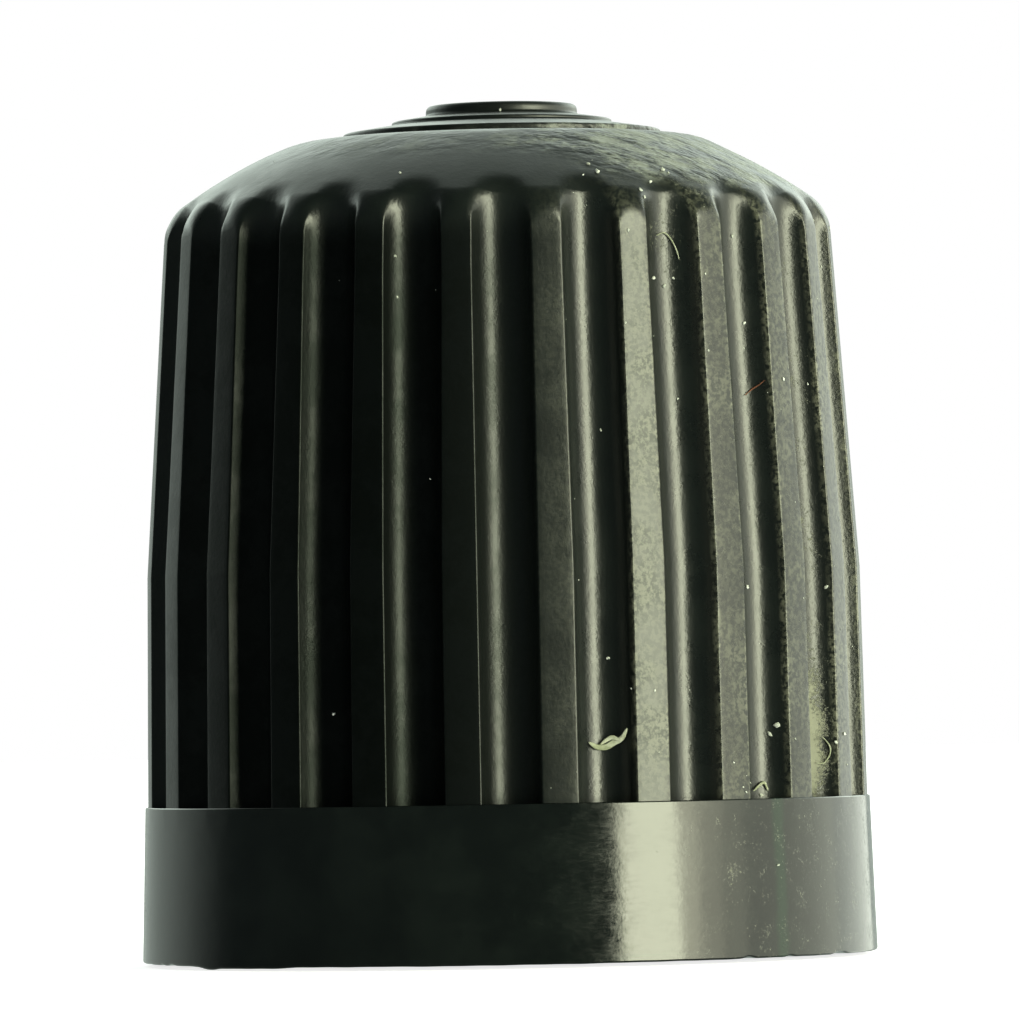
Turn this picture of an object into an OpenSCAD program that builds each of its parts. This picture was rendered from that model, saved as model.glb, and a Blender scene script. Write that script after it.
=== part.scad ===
// Fluted plastic cap for a tyre valve, moulded in one piece.
// All sizes are in millimetres. The cap stands on its open rim and Z runs along its axis.

/* [Band] */
// Diameter of the plain band at the open rim
rim_d = 9.96; // [9.84:0.02:10.6]
// Diameter of the band at its upper edge
band_top_d = 9.82; // [9.78:0.02:9.96]
// Height of the plain band
band_h = 2.1; // [1.4:0.1:3]

/* [Fluted grip] */
// Diameter over the ribs where they rise from the band
grip_foot_d = 9.76; // [9.68:0.02:9.78]
// Diameter over the ribs where the draft steepens
grip_bend_d = 9.67; // [9.5:0.01:9.72]
// Height above the rim where the draft steepens
grip_bend_z = 5.2; // [4:0.1:6.5]
// Diameter over the ribs where the shoulder starts
shoulder_d = 9.06; // [8.9:0.02:9.3]
// Height above the rim where the shoulder starts
shoulder_z = 9.75; // [9.6:0.01:9.85]
// Number of flutes round the grip
flute_count = 24; // [16:1:26]
// Radius of a flute's round channel
flute_r = 0.39; // [0.34:0.01:0.45]
// Depth of a flute below the ribs
flute_depth = 0.34; // [0.2:0.01:0.38]

/* [Crown] */
// Radius of the rounded shoulder
shoulder_r = 0.62; // [0.5:0.01:0.7]
// Radius of the dome
dome_r = 7.35; // [7.2:0.05:7.5]
// Height of the flat that the dome ends in
crown_z = 11.07; // [11:0.01:11.12]
// Radius that rounds the dome into that flat
crown_edge_r = 1; // [0.4:0.1:1.2]
// Diameter of the lower step
step_d = 4.31; // [4:0.01:4.6]
// Height of the lower step's wall
step_h = 0.1; // [0.05:0.01:0.2]
// Diameter of the upper step
boss_d = 2.98; // [2.7:0.02:3.3]
// Height of the upper step's wall
boss_h = 0.05; // [0.03:0.01:0.12]
// Rise of each step's sloping top towards the axis, in degrees
step_slope = 9; // [4:0.5:12]
// Diameter of the gate pip
pip_d = 2.04; // [1.6:0.02:2.4]
// Height of the gate pip
pip_h = 0.14; // [0.1:0.01:0.25]
// Radius on the pip's upper edge
pip_edge_r = 0.07; // [0.03:0.01:0.09]

/* [Inside] */
// Diameter of the lead-in recess at the rim
mouth_d = 8.1; // [7.9:0.05:8.3]
// Depth of the lead-in recess
mouth_h = 0.6; // [0.3:0.05:1]
// Diameter of the bore at the thread's crests
bore_d = 6.88; // [6.82:0.01:7]
// Height at which the thread ends
thread_end_z = 7.6; // [6.4:0.1:7.6]
// Diameter of the plain pocket between the thread and the seat
pocket_d = 5.9; // [5.8:0.05:6]
// Height of the seat that closes on the end of the valve stem
seat_z = 8.4; // [8.2:0.1:8.6]
// Diameter of the sealing lip on the seat
lip_d = 5.1; // [5:0.05:5.2]
// Width of the sealing lip where it joins the seat
lip_w = 0.5; // [0.3:0.05:0.5]
// Height of the sealing lip
lip_h = 0.3; // [0.2:0.05:0.5]
// Diameter of the well over the valve core
well_d = 4.4; // [3.6:0.1:4.4]
// Thickness of the crown over the well
crown_wall = 1.35; // [1.1:0.05:1.6]
// Radius in the top corner of the well
well_edge_r = 0.5; // [0.2:0.05:0.8]

/* [Hidden] */
$fn = 96;

// Length by which a cutter passes the face that it opens
over = 1;
// Largest turn between two points of a round stretch, in degrees
arc_step = 8;

// Points from angle a to angle b on the arc with centre c and radius r
function arc(c, r, a, b) =
    let (n = ceil(abs(b - a) / arc_step))
    [for (i = [0 : n]) let (t = a + (b - a) * i / n) c + r * [cos(t), sin(t)]];

// Shoulder arc: it leaves the ribs' line without a crease
draft = atan2((grip_bend_d - shoulder_d) / 2, shoulder_z - grip_bend_z);
shoulder_c = [shoulder_d / 2, shoulder_z] - shoulder_r * [cos(draft), sin(draft)];

// Dome: its centre is on the axis, and the shoulder arc touches it from inside
dome_c = [0, shoulder_c.y - sqrt(pow(dome_r - shoulder_r, 2) - pow(shoulder_c.x, 2))];
dome_start = atan2(shoulder_c.y - dome_c.y, shoulder_c.x);

// Crown edge: an arc that touches both the dome and the flat crown
crown_drop = crown_z - crown_edge_r - dome_c.y;
crown_c = [sqrt(pow(dome_r - crown_edge_r, 2) - pow(crown_drop, 2)), crown_z - crown_edge_r];
dome_end = atan2(crown_drop, crown_c.x);

// Heights of the steps, each with a top that slopes up to the next
step_top_z = crown_z + step_h;
boss_foot_z = step_top_z + (step_d - boss_d) / 2 * tan(step_slope);
boss_top_z = boss_foot_z + boss_h;
pip_foot_z = boss_top_z + (boss_d - pip_d) / 2 * tan(step_slope);
pip_top_z = pip_foot_z + pip_h;

// Top of the well inside
well_z = crown_z - crown_wall;

// Outside of the cap before the flutes are cut
module blank() {
    rotate_extrude()
        polygon(concat(
            [[0, 0], [rim_d / 2, 0], [band_top_d / 2, band_h]],
            [[grip_foot_d / 2, band_h], [grip_bend_d / 2, grip_bend_z]],
            arc(shoulder_c, shoulder_r, draft, dome_start),
            arc(dome_c, dome_r, dome_start, dome_end),
            arc(crown_c, crown_edge_r, dome_end, 90),
            [[step_d / 2, crown_z], [step_d / 2, step_top_z]],
            [[boss_d / 2, boss_foot_z], [boss_d / 2, boss_top_z], [pip_d / 2, pip_foot_z]],
            arc([pip_d / 2, pip_top_z] - pip_edge_r * [1, 1], pip_edge_r, 0, 90),
            [[0, pip_top_z]]
        ));
}

// Hollow of the cap: lead-in recess, thread bore, pocket, seat with its sealing lip, and well
module hollow() {
    mouth_cone = (mouth_d - bore_d) / 2;
    pocket_cone = (bore_d - pocket_d) / 2;
    lip_side = lip_w / 2;
    rotate_extrude()
        polygon(concat(
            [[0, -over], [mouth_d / 2, -over], [mouth_d / 2, mouth_h]],
            [[bore_d / 2, mouth_h + mouth_cone], [bore_d / 2, thread_end_z]],
            [[pocket_d / 2, thread_end_z + pocket_cone], [pocket_d / 2, seat_z]],
            [[lip_d / 2 + lip_side, seat_z], [lip_d / 2, seat_z - lip_h], [lip_d / 2 - lip_side, seat_z]],
            [[well_d / 2, seat_z]],
            arc([well_d / 2, well_z] - well_edge_r * [1, 1], well_edge_r, 0, 90),
            [[0, well_z]]
        ));
}

// Round channel along the ribs' line, from its low point to its high point
module channel(low, high) {
    run = high - low;
    translate([low.x, 0, low.y])
        rotate([0, atan2(run.x, run.y), 0])
            translate([flute_r - flute_depth, 0, -over])
                cylinder(r = flute_r, h = norm(run) + 2 * over);
}

// One flute: two channels that meet where the draft steepens, cut off flat by the band's ledge
module flute() {
    foot = [grip_foot_d / 2, band_h];
    bend = [grip_bend_d / 2, grip_bend_z];
    top = [shoulder_d / 2, shoulder_z];
    intersection() {
        union() {
            channel(foot, bend);
            channel(bend, top);
        }
        translate([0, -flute_r - over, band_h]) cube([rim_d, 2 * (flute_r + over), pip_top_z]);
    }
}

// The whole cap
module cap() {
    color([0.08, 0.1, 0.09])
        difference() {
            blank();
            hollow();
            for (k = [0 : flute_count - 1])
                rotate(k * 360 / flute_count) flute();
        }
}

cap();
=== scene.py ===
"""Looks of a moulded tyre valve cap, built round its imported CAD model.

The cap is one moulding. Its skin, outside and inside, is one closed surface worked out on a grid: rows run
along the cap's half section and columns run round its axis. The flutes, their rounded rib corners and the
arches in which they run out are sunk into that surface. The inside thread, dust grains, lint and fibres are
pieces of their own.

Lengths in the classes are millimetres, as on the cap's drawing, and become metres where a mesh is made.
"""

import logging
import math
from dataclasses import dataclass, field
from enum import Enum
from functools import reduce

import bpy
import numpy as np
from mathutils import Matrix, Vector
from mathutils.bvhtree import BVHTree


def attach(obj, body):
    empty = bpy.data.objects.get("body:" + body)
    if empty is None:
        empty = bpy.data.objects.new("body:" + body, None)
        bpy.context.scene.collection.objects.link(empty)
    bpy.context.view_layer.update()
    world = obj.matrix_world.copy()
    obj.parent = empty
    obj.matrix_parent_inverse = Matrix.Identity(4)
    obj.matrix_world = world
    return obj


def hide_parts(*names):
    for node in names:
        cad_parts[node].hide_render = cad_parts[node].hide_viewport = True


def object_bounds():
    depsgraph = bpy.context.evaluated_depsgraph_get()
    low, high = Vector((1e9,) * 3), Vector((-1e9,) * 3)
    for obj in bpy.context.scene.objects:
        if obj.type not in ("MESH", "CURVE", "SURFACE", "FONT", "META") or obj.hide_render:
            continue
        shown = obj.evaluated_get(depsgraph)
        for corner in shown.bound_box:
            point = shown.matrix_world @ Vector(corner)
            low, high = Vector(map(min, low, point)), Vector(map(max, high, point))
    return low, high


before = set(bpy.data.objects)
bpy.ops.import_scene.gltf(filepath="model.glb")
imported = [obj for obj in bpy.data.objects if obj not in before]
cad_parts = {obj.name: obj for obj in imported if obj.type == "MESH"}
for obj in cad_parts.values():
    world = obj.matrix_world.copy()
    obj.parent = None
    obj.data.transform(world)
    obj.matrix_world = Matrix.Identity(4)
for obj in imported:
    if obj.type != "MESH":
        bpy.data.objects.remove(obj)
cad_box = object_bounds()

MM = 0.001
Triple = tuple[float, float, float]
Socket = bpy.types.NodeSocket
NodeGroup = bpy.types.NodeTree
log = logging.getLogger("valve_cap")


class Zone(Enum):
    """Stretches of the skin with a finish of their own. The value is the material's place on the mesh."""

    SATIN = 0
    BAND = 1
    INSIDE = 2


# Section and grid helpers


def arc_points(
    centre: tuple[float, float], radius: float, start: float, end: float, steps: int
) -> np.ndarray:
    """Points on a circle, at angles that run evenly from start to end.

    Each is the centre plus the radius times (cosine, sine) of its angle.

    Args:
        centre: Middle of the circle as (radius from the axis, height).
        radius: Radius of the circle.
        start: First angle in degrees.
        end: Last angle in degrees.
        steps: Number of steps between them.

    Returns:
        Array of steps + 1 points.
    """
    angle = np.radians(np.linspace(start, end, steps + 1))
    return np.array(centre) + radius * np.stack([np.cos(angle), np.sin(angle)], axis=1)


def run_points(start: np.ndarray, end: np.ndarray, steps: int, margin: float) -> np.ndarray:
    """Evenly spread points on a straight run, with one more close to each end to keep the shading flat.

    Args:
        start: First point of the run.
        end: Last point of the run.
        steps: Number of even steps.
        margin: Distance of the close points from the ends.

    Returns:
        Array of points from start to end.
    """
    length = float(np.linalg.norm(end - start))
    near = min(margin / length, 0.2) if length > 0 else 0.2
    share = np.unique(np.concatenate([[0, near], np.linspace(near, 1 - near, steps + 1), [1 - near, 1]]))
    return start + share[:, None] * (end - start)


@dataclass
class Corner:
    """A corner of the half section, and the straight run that leaves it.

    Attributes:
        r: Distance from the axis.
        z: Height above the rim.
        radius: Radius that rounds the corner.
        turn_steps: Steps round that radius.
        run_steps: Steps along the run to the next corner.
    """

    r: float
    z: float
    radius: float = 0.0
    turn_steps: int = 3
    run_steps: int = 1

    @property
    def place(self) -> np.ndarray:
        """The corner's point before it is rounded."""
        return np.array([self.r, self.z], float)


def rounded_path(corners: list[Corner], margin: float) -> np.ndarray:
    """Straight runs between corners, with each inner corner rounded by an arc that touches both of its runs.

    The arc's centre lies on the corner's bisector, at radius / sin(half the corner's angle) from the corner.

    Args:
        corners: Corners in order. The first and last are ends and stay sharp.
        margin: Distance of the close points that keep flat runs flat.

    Returns:
        Array of points along the path.
    """
    ends: list[tuple[np.ndarray, np.ndarray, np.ndarray]] = []
    for before, corner, after in zip(corners, corners[1:], corners[2:]):
        back = before.place - corner.place
        on = after.place - corner.place
        back, on = back / np.linalg.norm(back), on / np.linalg.norm(on)
        half = 0.5 * math.acos(float(np.clip(back @ on, -1, 1)))
        reach = corner.radius / math.tan(half)
        middle = corner.place + (back + on) / np.linalg.norm(back + on) * corner.radius / math.sin(half)
        enter, leave = corner.place + back * reach, corner.place + on * reach
        a = math.atan2(*(enter - middle)[::-1])
        b = math.atan2(*(leave - middle)[::-1])
        b += 2 * math.pi * round((a - b) / (2 * math.pi))
        bend = arc_points(tuple(middle), corner.radius, math.degrees(a), math.degrees(b), corner.turn_steps)
        ends.append((enter, leave, bend[1:-1]))
    starts = [corners[0].place] + [leave for _, leave, _ in ends]
    stops = [enter for enter, _, _ in ends] + [corners[-1].place]
    pieces = []
    for k, (start, stop) in enumerate(zip(starts, stops)):
        pieces.append(run_points(start, stop, corners[k].run_steps, margin))
        if k < len(ends):
            pieces.append(ends[k][2])
    return drop_repeats(np.concatenate(pieces))


def drop_repeats(points: np.ndarray) -> np.ndarray:
    """Points without those that repeat the one before.

    Args:
        points: Array of points in order.

    Returns:
        The array with no two equal neighbours.
    """
    step = np.linalg.norm(np.diff(points, axis=0), axis=1)
    return points[np.concatenate([[True], step > 1e-6])]


def smooth_step(value: np.ndarray | float, low: float, high: float) -> np.ndarray:
    """Rise from 0 at low to 1 at high, flat at both ends: 3 t squared minus 2 t cubed.

    Args:
        value: Where to take the step.
        low: Value at which it leaves 0.
        high: Value at which it reaches 1.

    Returns:
        The step's height at each value.
    """
    t = np.clip((np.asarray(value, float) - low) / (high - low), 0, 1)
    return t * t * (3 - 2 * t)


def area_normals(points: np.ndarray, faces: np.ndarray) -> np.ndarray:
    """Vertex normals in which each face counts by its area, so narrow roundings don't tilt broad faces.

    A face's share is the cross product of its diagonals.

    Args:
        points: Vertex places.
        faces: Four vertex numbers per face, with the third repeated on a triangle.

    Returns:
        Unit normal of each vertex.
    """
    a, b, c, d = (points[faces[:, k]] for k in range(4))
    cross = np.cross(c - a, d - b)
    normals = np.zeros_like(points)
    for k in range(4):
        np.add.at(normals, faces[:, k], cross)
    return normals / np.maximum(np.linalg.norm(normals, axis=1, keepdims=True), 1e-30)


def grid_faces(rows: int, columns: int, poles: bool) -> np.ndarray:
    """Faces of a grid that closes round its columns, with a point at each end or with open ends.

    Args:
        rows: Number of rings, without the end points.
        columns: Vertices in a ring.
        poles: Whether a point before the first ring and one after the last close the ends.

    Returns:
        Four vertex numbers per face. A triangle repeats its third. The end points are the last two vertices.
    """
    i, j = np.meshgrid(np.arange(rows - 1), np.arange(columns), indexing="ij")
    turn = (j + 1) % columns
    here, next_row = i * columns, (i + 1) * columns
    quads = np.stack([here + j, next_row + j, next_row + turn, here + turn], axis=-1)
    faces = [quads.reshape(-1, 4)]
    if poles:
        ring = np.arange(columns)
        after = (ring + 1) % columns
        first, last = rows * columns, rows * columns + 1
        low = (rows - 1) * columns
        faces.append(np.stack([np.full(columns, first), ring, after, after], axis=1))
        tip = np.full(columns, last)
        faces.append(np.stack([low + after, low + ring, tip, tip], axis=1))
    return np.concatenate(faces)


def make_piece(
    name: str, points_mm: np.ndarray, faces: np.ndarray, zones: np.ndarray | None = None
) -> bpy.types.Object:
    """Puts points and faces into a new smooth-shaded object that sits at the origin.

    Args:
        name: Name of the piece.
        points_mm: Vertex places in millimetres.
        faces: Four vertex numbers per face, with the third repeated on a triangle.
        zones: Material number of each face.

    Returns:
        The new object, linked to the scene.
    """
    points = points_mm * MM
    normals = area_normals(points, faces)
    three = faces[:, 2] == faces[:, 3]
    counts = np.where(three, 3, 4)
    corners = faces.reshape(-1)[~np.stack([np.zeros_like(three)] * 3 + [three], axis=1).reshape(-1)]
    mesh = bpy.data.meshes.new(name)
    mesh.vertices.add(len(points))
    mesh.vertices.foreach_set("co", points.astype(np.float32).ravel())
    mesh.loops.add(len(corners))
    mesh.loops.foreach_set("vertex_index", corners.astype(np.int32))
    mesh.polygons.add(len(faces))
    mesh.polygons.foreach_set("loop_start", np.concatenate([[0], np.cumsum(counts)[:-1]]).astype(np.int32))
    mesh.polygons.foreach_set("loop_total", counts.astype(np.int32))
    if zones is not None:
        mesh.polygons.foreach_set("material_index", zones.astype(np.int32))
    mesh.update(calc_edges=True)
    mesh.shade_smooth()
    mesh.validate()
    mesh.normals_split_custom_set_from_vertices(normals.tolist())
    piece = bpy.data.objects.new(name, mesh)
    bpy.context.scene.collection.objects.link(piece)
    return piece


def vertex_mask(piece: bpy.types.Object, name: str, values: np.ndarray) -> None:
    """Stores one number per vertex for the materials to read.

    Args:
        piece: Object that gets the numbers.
        name: Name of the attribute.
        values: One value per vertex.
    """
    layer = piece.data.attributes.new(name, "FLOAT", "POINT")
    layer.data.foreach_set("value", values.astype(np.float32))


# The cap's own form


@dataclass
class Flutes:
    """Round channels up the grip. Each follows the ribs' two drafts and runs out through the shoulder.

    Attributes:
        count: Number of flutes.
        radius: Radius of a channel.
        depth: Depth of a channel below the ribs.
        run_out: How much shallower a channel has become where it runs out through the shoulder.
        rib_edge: Radius on the ribs' edges.
        arch_edge: Radius on the edge of the arch in which a channel runs out.
        channel_steps: Grid steps from a channel's middle to its edge.
        edge_steps: Grid steps round a rib's edge.
        crest_steps: Grid steps from there to the rib's middle.
        crest_power: Power that draws those steps towards the edge.
    """

    count: int = 24
    radius: float = 0.4
    depth: float = 0.345
    run_out: float = 0.08
    rib_edge: float = 0.024
    arch_edge: float = 0.16
    channel_steps: int = 6
    edge_steps: int = 3
    crest_steps: int = 2
    crest_power: float = 1.6

    @property
    def columns(self) -> int:
        """Grid columns round the whole cap."""
        return 2 * self.count * (self.channel_steps + self.edge_steps + self.crest_steps)

    @property
    def half_pitch(self) -> float:
        """Angle from a flute's middle to the middle of a rib."""
        return math.pi / self.count

    def half_angles(self, crest: np.ndarray, middle: np.ndarray) -> np.ndarray:
        """Angles of the grid's columns from a flute's middle to a rib's middle, crowded at the rib's edge.

        The channel is a circle of the flute's radius about a point at distance middle from the axis. The
        edge's circle touches it from outside and the crest's circle from inside, which fixes its centre by
        the cosine rule.

        Args:
            crest: Radius over the ribs in each row.
            middle: Distance of the channel's axis from the cap's in each row.

        Returns:
            Array of one row of angles per row of the grid.
        """
        edge = self.rib_edge
        inner = crest - edge
        cosine = (middle**2 + inner**2 - (self.radius + edge) ** 2) / (2 * middle * inner)
        top = np.arccos(np.clip(cosine, -1, 1))
        centre = inner[:, None] * np.stack([np.cos(top), np.sin(top)], axis=1)
        away = centre - np.stack([middle, np.zeros_like(middle)], axis=1)
        away /= np.linalg.norm(away, axis=1, keepdims=True)
        widest = np.arctan2(away[:, 1], -away[:, 0])
        share = np.linspace(0, 1, self.channel_steps + 1)
        bend = widest[:, None] * share
        channel = np.arctan2(self.radius * np.sin(bend), middle[:, None] - self.radius * np.cos(bend))
        touch = np.arctan2(-away[:, 1], -away[:, 0])
        touch = np.where(touch < 0, touch + 2 * math.pi, touch)
        turn = np.linspace(0, 1, self.edge_steps + 1)[1:]
        spin = touch[:, None] + (top + 2 * math.pi - touch)[:, None] * turn
        edge_points = centre[:, None, :] + edge * np.stack([np.cos(spin), np.sin(spin)], axis=-1)
        corner = np.arctan2(edge_points[..., 1], edge_points[..., 0])
        rest = np.linspace(0, 1, self.crest_steps + 1)[1:] ** self.crest_power
        crest_angles = corner[:, -1:] + (self.half_pitch - corner[:, -1:]) * rest
        return np.concatenate([channel, corner, crest_angles], axis=1)

    def edge_columns(self) -> np.ndarray:
        """Marks the grid's columns that lie on a rib's rounded edge.

        Returns:
            1 for a column on an edge and 0 for the rest, round the whole cap.
        """
        half = np.zeros(self.channel_steps + self.edge_steps + self.crest_steps + 1)
        half[self.channel_steps : self.channel_steps + self.edge_steps + 1] = 1
        return np.tile(np.concatenate([half, half[-2:0:-1]]), self.count)

    def all_angles(self, half: np.ndarray) -> np.ndarray:
        """Mirrors the half flute's angles and repeats them round the cap.

        Args:
            half: Angles from a flute's middle to a rib's middle, one row per grid row.

        Returns:
            Angles of all columns, one row per grid row.
        """
        one = np.concatenate([half, 2 * self.half_pitch - half[:, -2:0:-1]], axis=1)
        starts = 2 * self.half_pitch * np.arange(self.count)
        return (starts[None, :, None] + one[:, None, :]).reshape(len(half), -1)


@dataclass(frozen=True)
class RimMark:
    """A burr that hangs from the rim's outer edge, or a nick in it.

    Attributes:
        azimuth: Where it lies, in degrees from the front towards +X.
        core: Half the angle over which it has its full height.
        reach: Half the angle over which it fades out.
        drop: How far the edge hangs down there. A nick is negative.
    """

    azimuth: float
    core: float
    reach: float
    drop: float

    def heights(self, front: np.ndarray) -> np.ndarray:
        """Drop of the edge at each azimuth: full within the core, then a smooth fall to 0.

        Args:
            front: Azimuths in degrees from the front.

        Returns:
            Drop at each of them.
        """
        away = np.abs((front - self.azimuth + 180) % 360 - 180)
        return self.drop * (1 - smooth_step(away, self.core, self.core + self.reach))


@dataclass
class MouldedCap:
    """The cap's whole skin: pip, steps, dome, fluted grip, band, rim and the hollow up to seat and well.

    Attributes:
        rim_r: Radius at the open rim, from the CAD model's box.
        height: Height to the pip's top, from the same box.
        flutes: Channels of the grip.
        band_top_r: Radius at the band's upper edge.
        band_h: Height of the band.
        foot_r: Radius over the ribs where they rise from the band.
        bend_r: Radius over the ribs where the draft steepens.
        bend_z: Height at which it steepens.
        shoulder_r: Radius over the ribs where the shoulder starts.
        shoulder_z: Height at which it starts.
        shoulder_bend: Radius that rounds the shoulder.
        dome_r: Radius of the dome.
        crown_z: Height of the flat that the dome ends in.
        crown_bend: Radius that rounds the dome into that flat.
        step_r: Radius of the lower step.
        step_h: Height of its wall.
        boss_r: Radius of the upper step.
        boss_h: Height of its wall.
        step_slope: Rise of the steps' tops towards the axis, in degrees.
        pip_r: Radius of the gate pip.
        pip_edge: Radius on the pip's upper edge.
        pip_dish: Depth of the hollow in the pip's top.
        crown_shift: How far the steps and the pip stand off the axis.
        crown_shift_reach: Distance over which the dome takes that shift up.
        mouth_r: Radius of the lead-in recess.
        mouth_h: Depth of the lead-in recess.
        thread_root_r: Radius of the bore's wall between the thread's turns.
        thread_end_z: Height at which that wall ends.
        pocket_r: Radius of the plain pocket above the thread.
        pocket_z: Height at which the pocket has that radius.
        seat_z: Height of the seat.
        lip_r: Radius of the sealing lip.
        lip_w: Half the lip's width at the seat.
        lip_h: Height of the lip.
        well_r: Radius of the well.
        well_z: Height of the well's top.
        well_edge: Radius in the well's top corner.
        rim_marks: Burrs and nicks on the rim's outer edge.
        rim_waver: Unevenness of that edge.
        rim_waves: Waves of that unevenness round the cap.
        arch_span: Heights about the shoulder's start between which the arches' soft edge sets in.
        run_out_span: Heights about it between which the channels run out.
        even_span: Heights about it between which the grid's columns even out.
        gather_z: Height on the band at which the columns start to gather for the flutes.
        least_crest_r: Least radius over the ribs for which the columns are worked out.
        name: Name of the piece.
    """

    rim_r: float
    height: float
    flutes: Flutes = field(default_factory=Flutes)
    band_top_r: float = 4.91
    band_h: float = 2.1
    foot_r: float = 4.88
    bend_r: float = 4.835
    bend_z: float = 5.2
    shoulder_r: float = 4.53
    shoulder_z: float = 9.75
    shoulder_bend: float = 0.62
    dome_r: float = 7.35
    crown_z: float = 11.07
    crown_bend: float = 1.0
    step_r: float = 2.155
    step_h: float = 0.1
    boss_r: float = 1.49
    boss_h: float = 0.05
    step_slope: float = 9.0
    pip_r: float = 1.02
    pip_edge: float = 0.07
    pip_dish: float = 0.03
    crown_shift: float = 0.09
    crown_shift_reach: float = 1.2
    mouth_r: float = 4.05
    mouth_h: float = 0.6
    thread_root_r: float = 3.9
    thread_end_z: float = 7.35
    pocket_r: float = 2.95
    pocket_z: float = 8.09
    seat_z: float = 8.4
    lip_r: float = 2.55
    lip_w: float = 0.25
    lip_h: float = 0.3
    well_r: float = 2.2
    well_z: float = 9.72
    well_edge: float = 0.5
    rim_marks: tuple[RimMark, ...] = (
        RimMark(-54.2, 0.4, 2.8, 0.02),
        RimMark(-47.0, 6.0, 7.0, 0.022),
        RimMark(-66.5, 0.5, 1.0, -0.014),
        RimMark(-70.5, 0.3, 0.9, -0.012),
        RimMark(38.6, 0.4, 1.0, -0.022),
        RimMark(47.4, 0.3, 1.0, -0.018),
        RimMark(61.5, 0.8, 2.2, -0.024),
        RimMark(141.0, 0.5, 1.2, -0.018),
        RimMark(-128.0, 0.4, 1.6, 0.014),
    )
    rim_waver: float = 0.003
    rim_waves: tuple[int, ...] = (17, 31, 59)
    arch_span: tuple[float, float] = (-0.1, 0.35)
    run_out_span: tuple[float, float] = (-0.5, 0.6)
    even_span: tuple[float, float] = (0.1, 0.75)
    gather_z: float = 1.6
    least_crest_r: float = 4.1
    name: str = "moulded_cap"

    def __post_init__(self) -> None:
        """Works out the arcs of the shoulder, dome and crown, which touch each other without a crease."""
        self.draft_low = math.atan2(self.foot_r - self.bend_r, self.bend_z - self.band_h)
        self.draft_high = math.atan2(self.bend_r - self.shoulder_r, self.shoulder_z - self.bend_z)
        bend = self.shoulder_bend
        self.shoulder_c = (
            self.shoulder_r - bend * math.cos(self.draft_high),
            self.shoulder_z - bend * math.sin(self.draft_high),
        )
        self.dome_c = self.shoulder_c[1] - math.sqrt((self.dome_r - bend) ** 2 - self.shoulder_c[0] ** 2)
        self.dome_start = math.degrees(math.atan2(self.shoulder_c[1] - self.dome_c, self.shoulder_c[0]))
        drop = self.crown_z - self.crown_bend - self.dome_c
        crown_r = math.sqrt((self.dome_r - self.crown_bend) ** 2 - drop**2)
        self.crown_c = (crown_r, self.crown_z - self.crown_bend)
        self.dome_end = math.degrees(math.atan2(drop, self.crown_c[0]))

    def crown_section(self) -> np.ndarray:
        """Half section from the pip's middle to the end of the flat crown.

        Returns:
            Array of (radius, height) points.
        """
        slope = math.tan(math.radians(self.step_slope))
        step_top = self.crown_z + self.step_h
        boss_foot = step_top + (self.step_r - self.boss_r) * slope
        boss_top = boss_foot + self.boss_h
        pip_foot = boss_top + (self.boss_r - self.pip_r) * slope
        dish_share, dish_bend, pip_lean, lean = 0.72, 0.3, 0.01, 0.005
        corners = [
            Corner(0, self.height - self.pip_dish, run_steps=3),
            Corner(self.pip_r * dish_share, self.height, dish_bend),
            Corner(self.pip_r, self.height, self.pip_edge, turn_steps=4),
            Corner(self.pip_r + pip_lean, pip_foot, radius=0.03, turn_steps=2),
            Corner(self.boss_r, boss_top, radius=0.025, turn_steps=2),
            Corner(self.boss_r + lean, boss_foot, radius=0.02, turn_steps=2, run_steps=2),
            Corner(self.step_r, step_top, radius=0.03),
            Corner(self.step_r + lean, self.crown_z, radius=0.03, turn_steps=2),
            Corner(self.crown_c[0], self.crown_z),
        ]
        return rounded_path(corners, margin=0.02)

    def dome_section(self) -> np.ndarray:
        """Half section from the flat crown over dome and shoulder to the top of the grip.

        Returns:
            Array of (radius, height) points.
        """
        grip = math.degrees(self.draft_high)
        return np.concatenate(
            [
                arc_points(self.crown_c, self.crown_bend, 90, self.dome_end, steps=4)[1:],
                arc_points((0, self.dome_c), self.dome_r, self.dome_end, self.dome_start, steps=12)[1:],
                arc_points(self.shoulder_c, self.shoulder_bend, self.dome_start, grip, steps=20)[1:],
            ]
        )

    def grip_section(self) -> np.ndarray:
        """Half section of the ribs from the shoulder down to the band's ledge.

        Returns:
            Array of (radius, height) points.
        """
        top = np.array([self.shoulder_r, self.shoulder_z])
        bend = np.array([self.bend_r, self.bend_z])
        foot = np.array([self.foot_r, self.band_h])
        upper = run_points(top, bend, steps=8, margin=0.05)
        lower = run_points(bend, foot, steps=3, margin=0.03)
        return np.concatenate([upper[1:], lower[1:]])

    def rim_section(self) -> np.ndarray:
        """Half section from the band's upper edge down the band and across the rim to the thread's root.

        Returns:
            Array of (radius, height) points.
        """
        cone, ledge_edge = self.mouth_r - self.thread_root_r, 0.022
        corners = [
            Corner(self.band_top_r - ledge_edge, self.band_h),
            Corner(self.band_top_r, self.band_h, radius=0.02, run_steps=6),
            Corner(self.rim_r, 0, radius=0.03, run_steps=3),
            Corner(self.mouth_r, 0, radius=0.05, turn_steps=2, run_steps=2),
            Corner(self.mouth_r, self.mouth_h, radius=0.04, turn_steps=2),
            Corner(self.thread_root_r, self.mouth_h + cone),
        ]
        return rounded_path(corners, margin=0.04)

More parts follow.
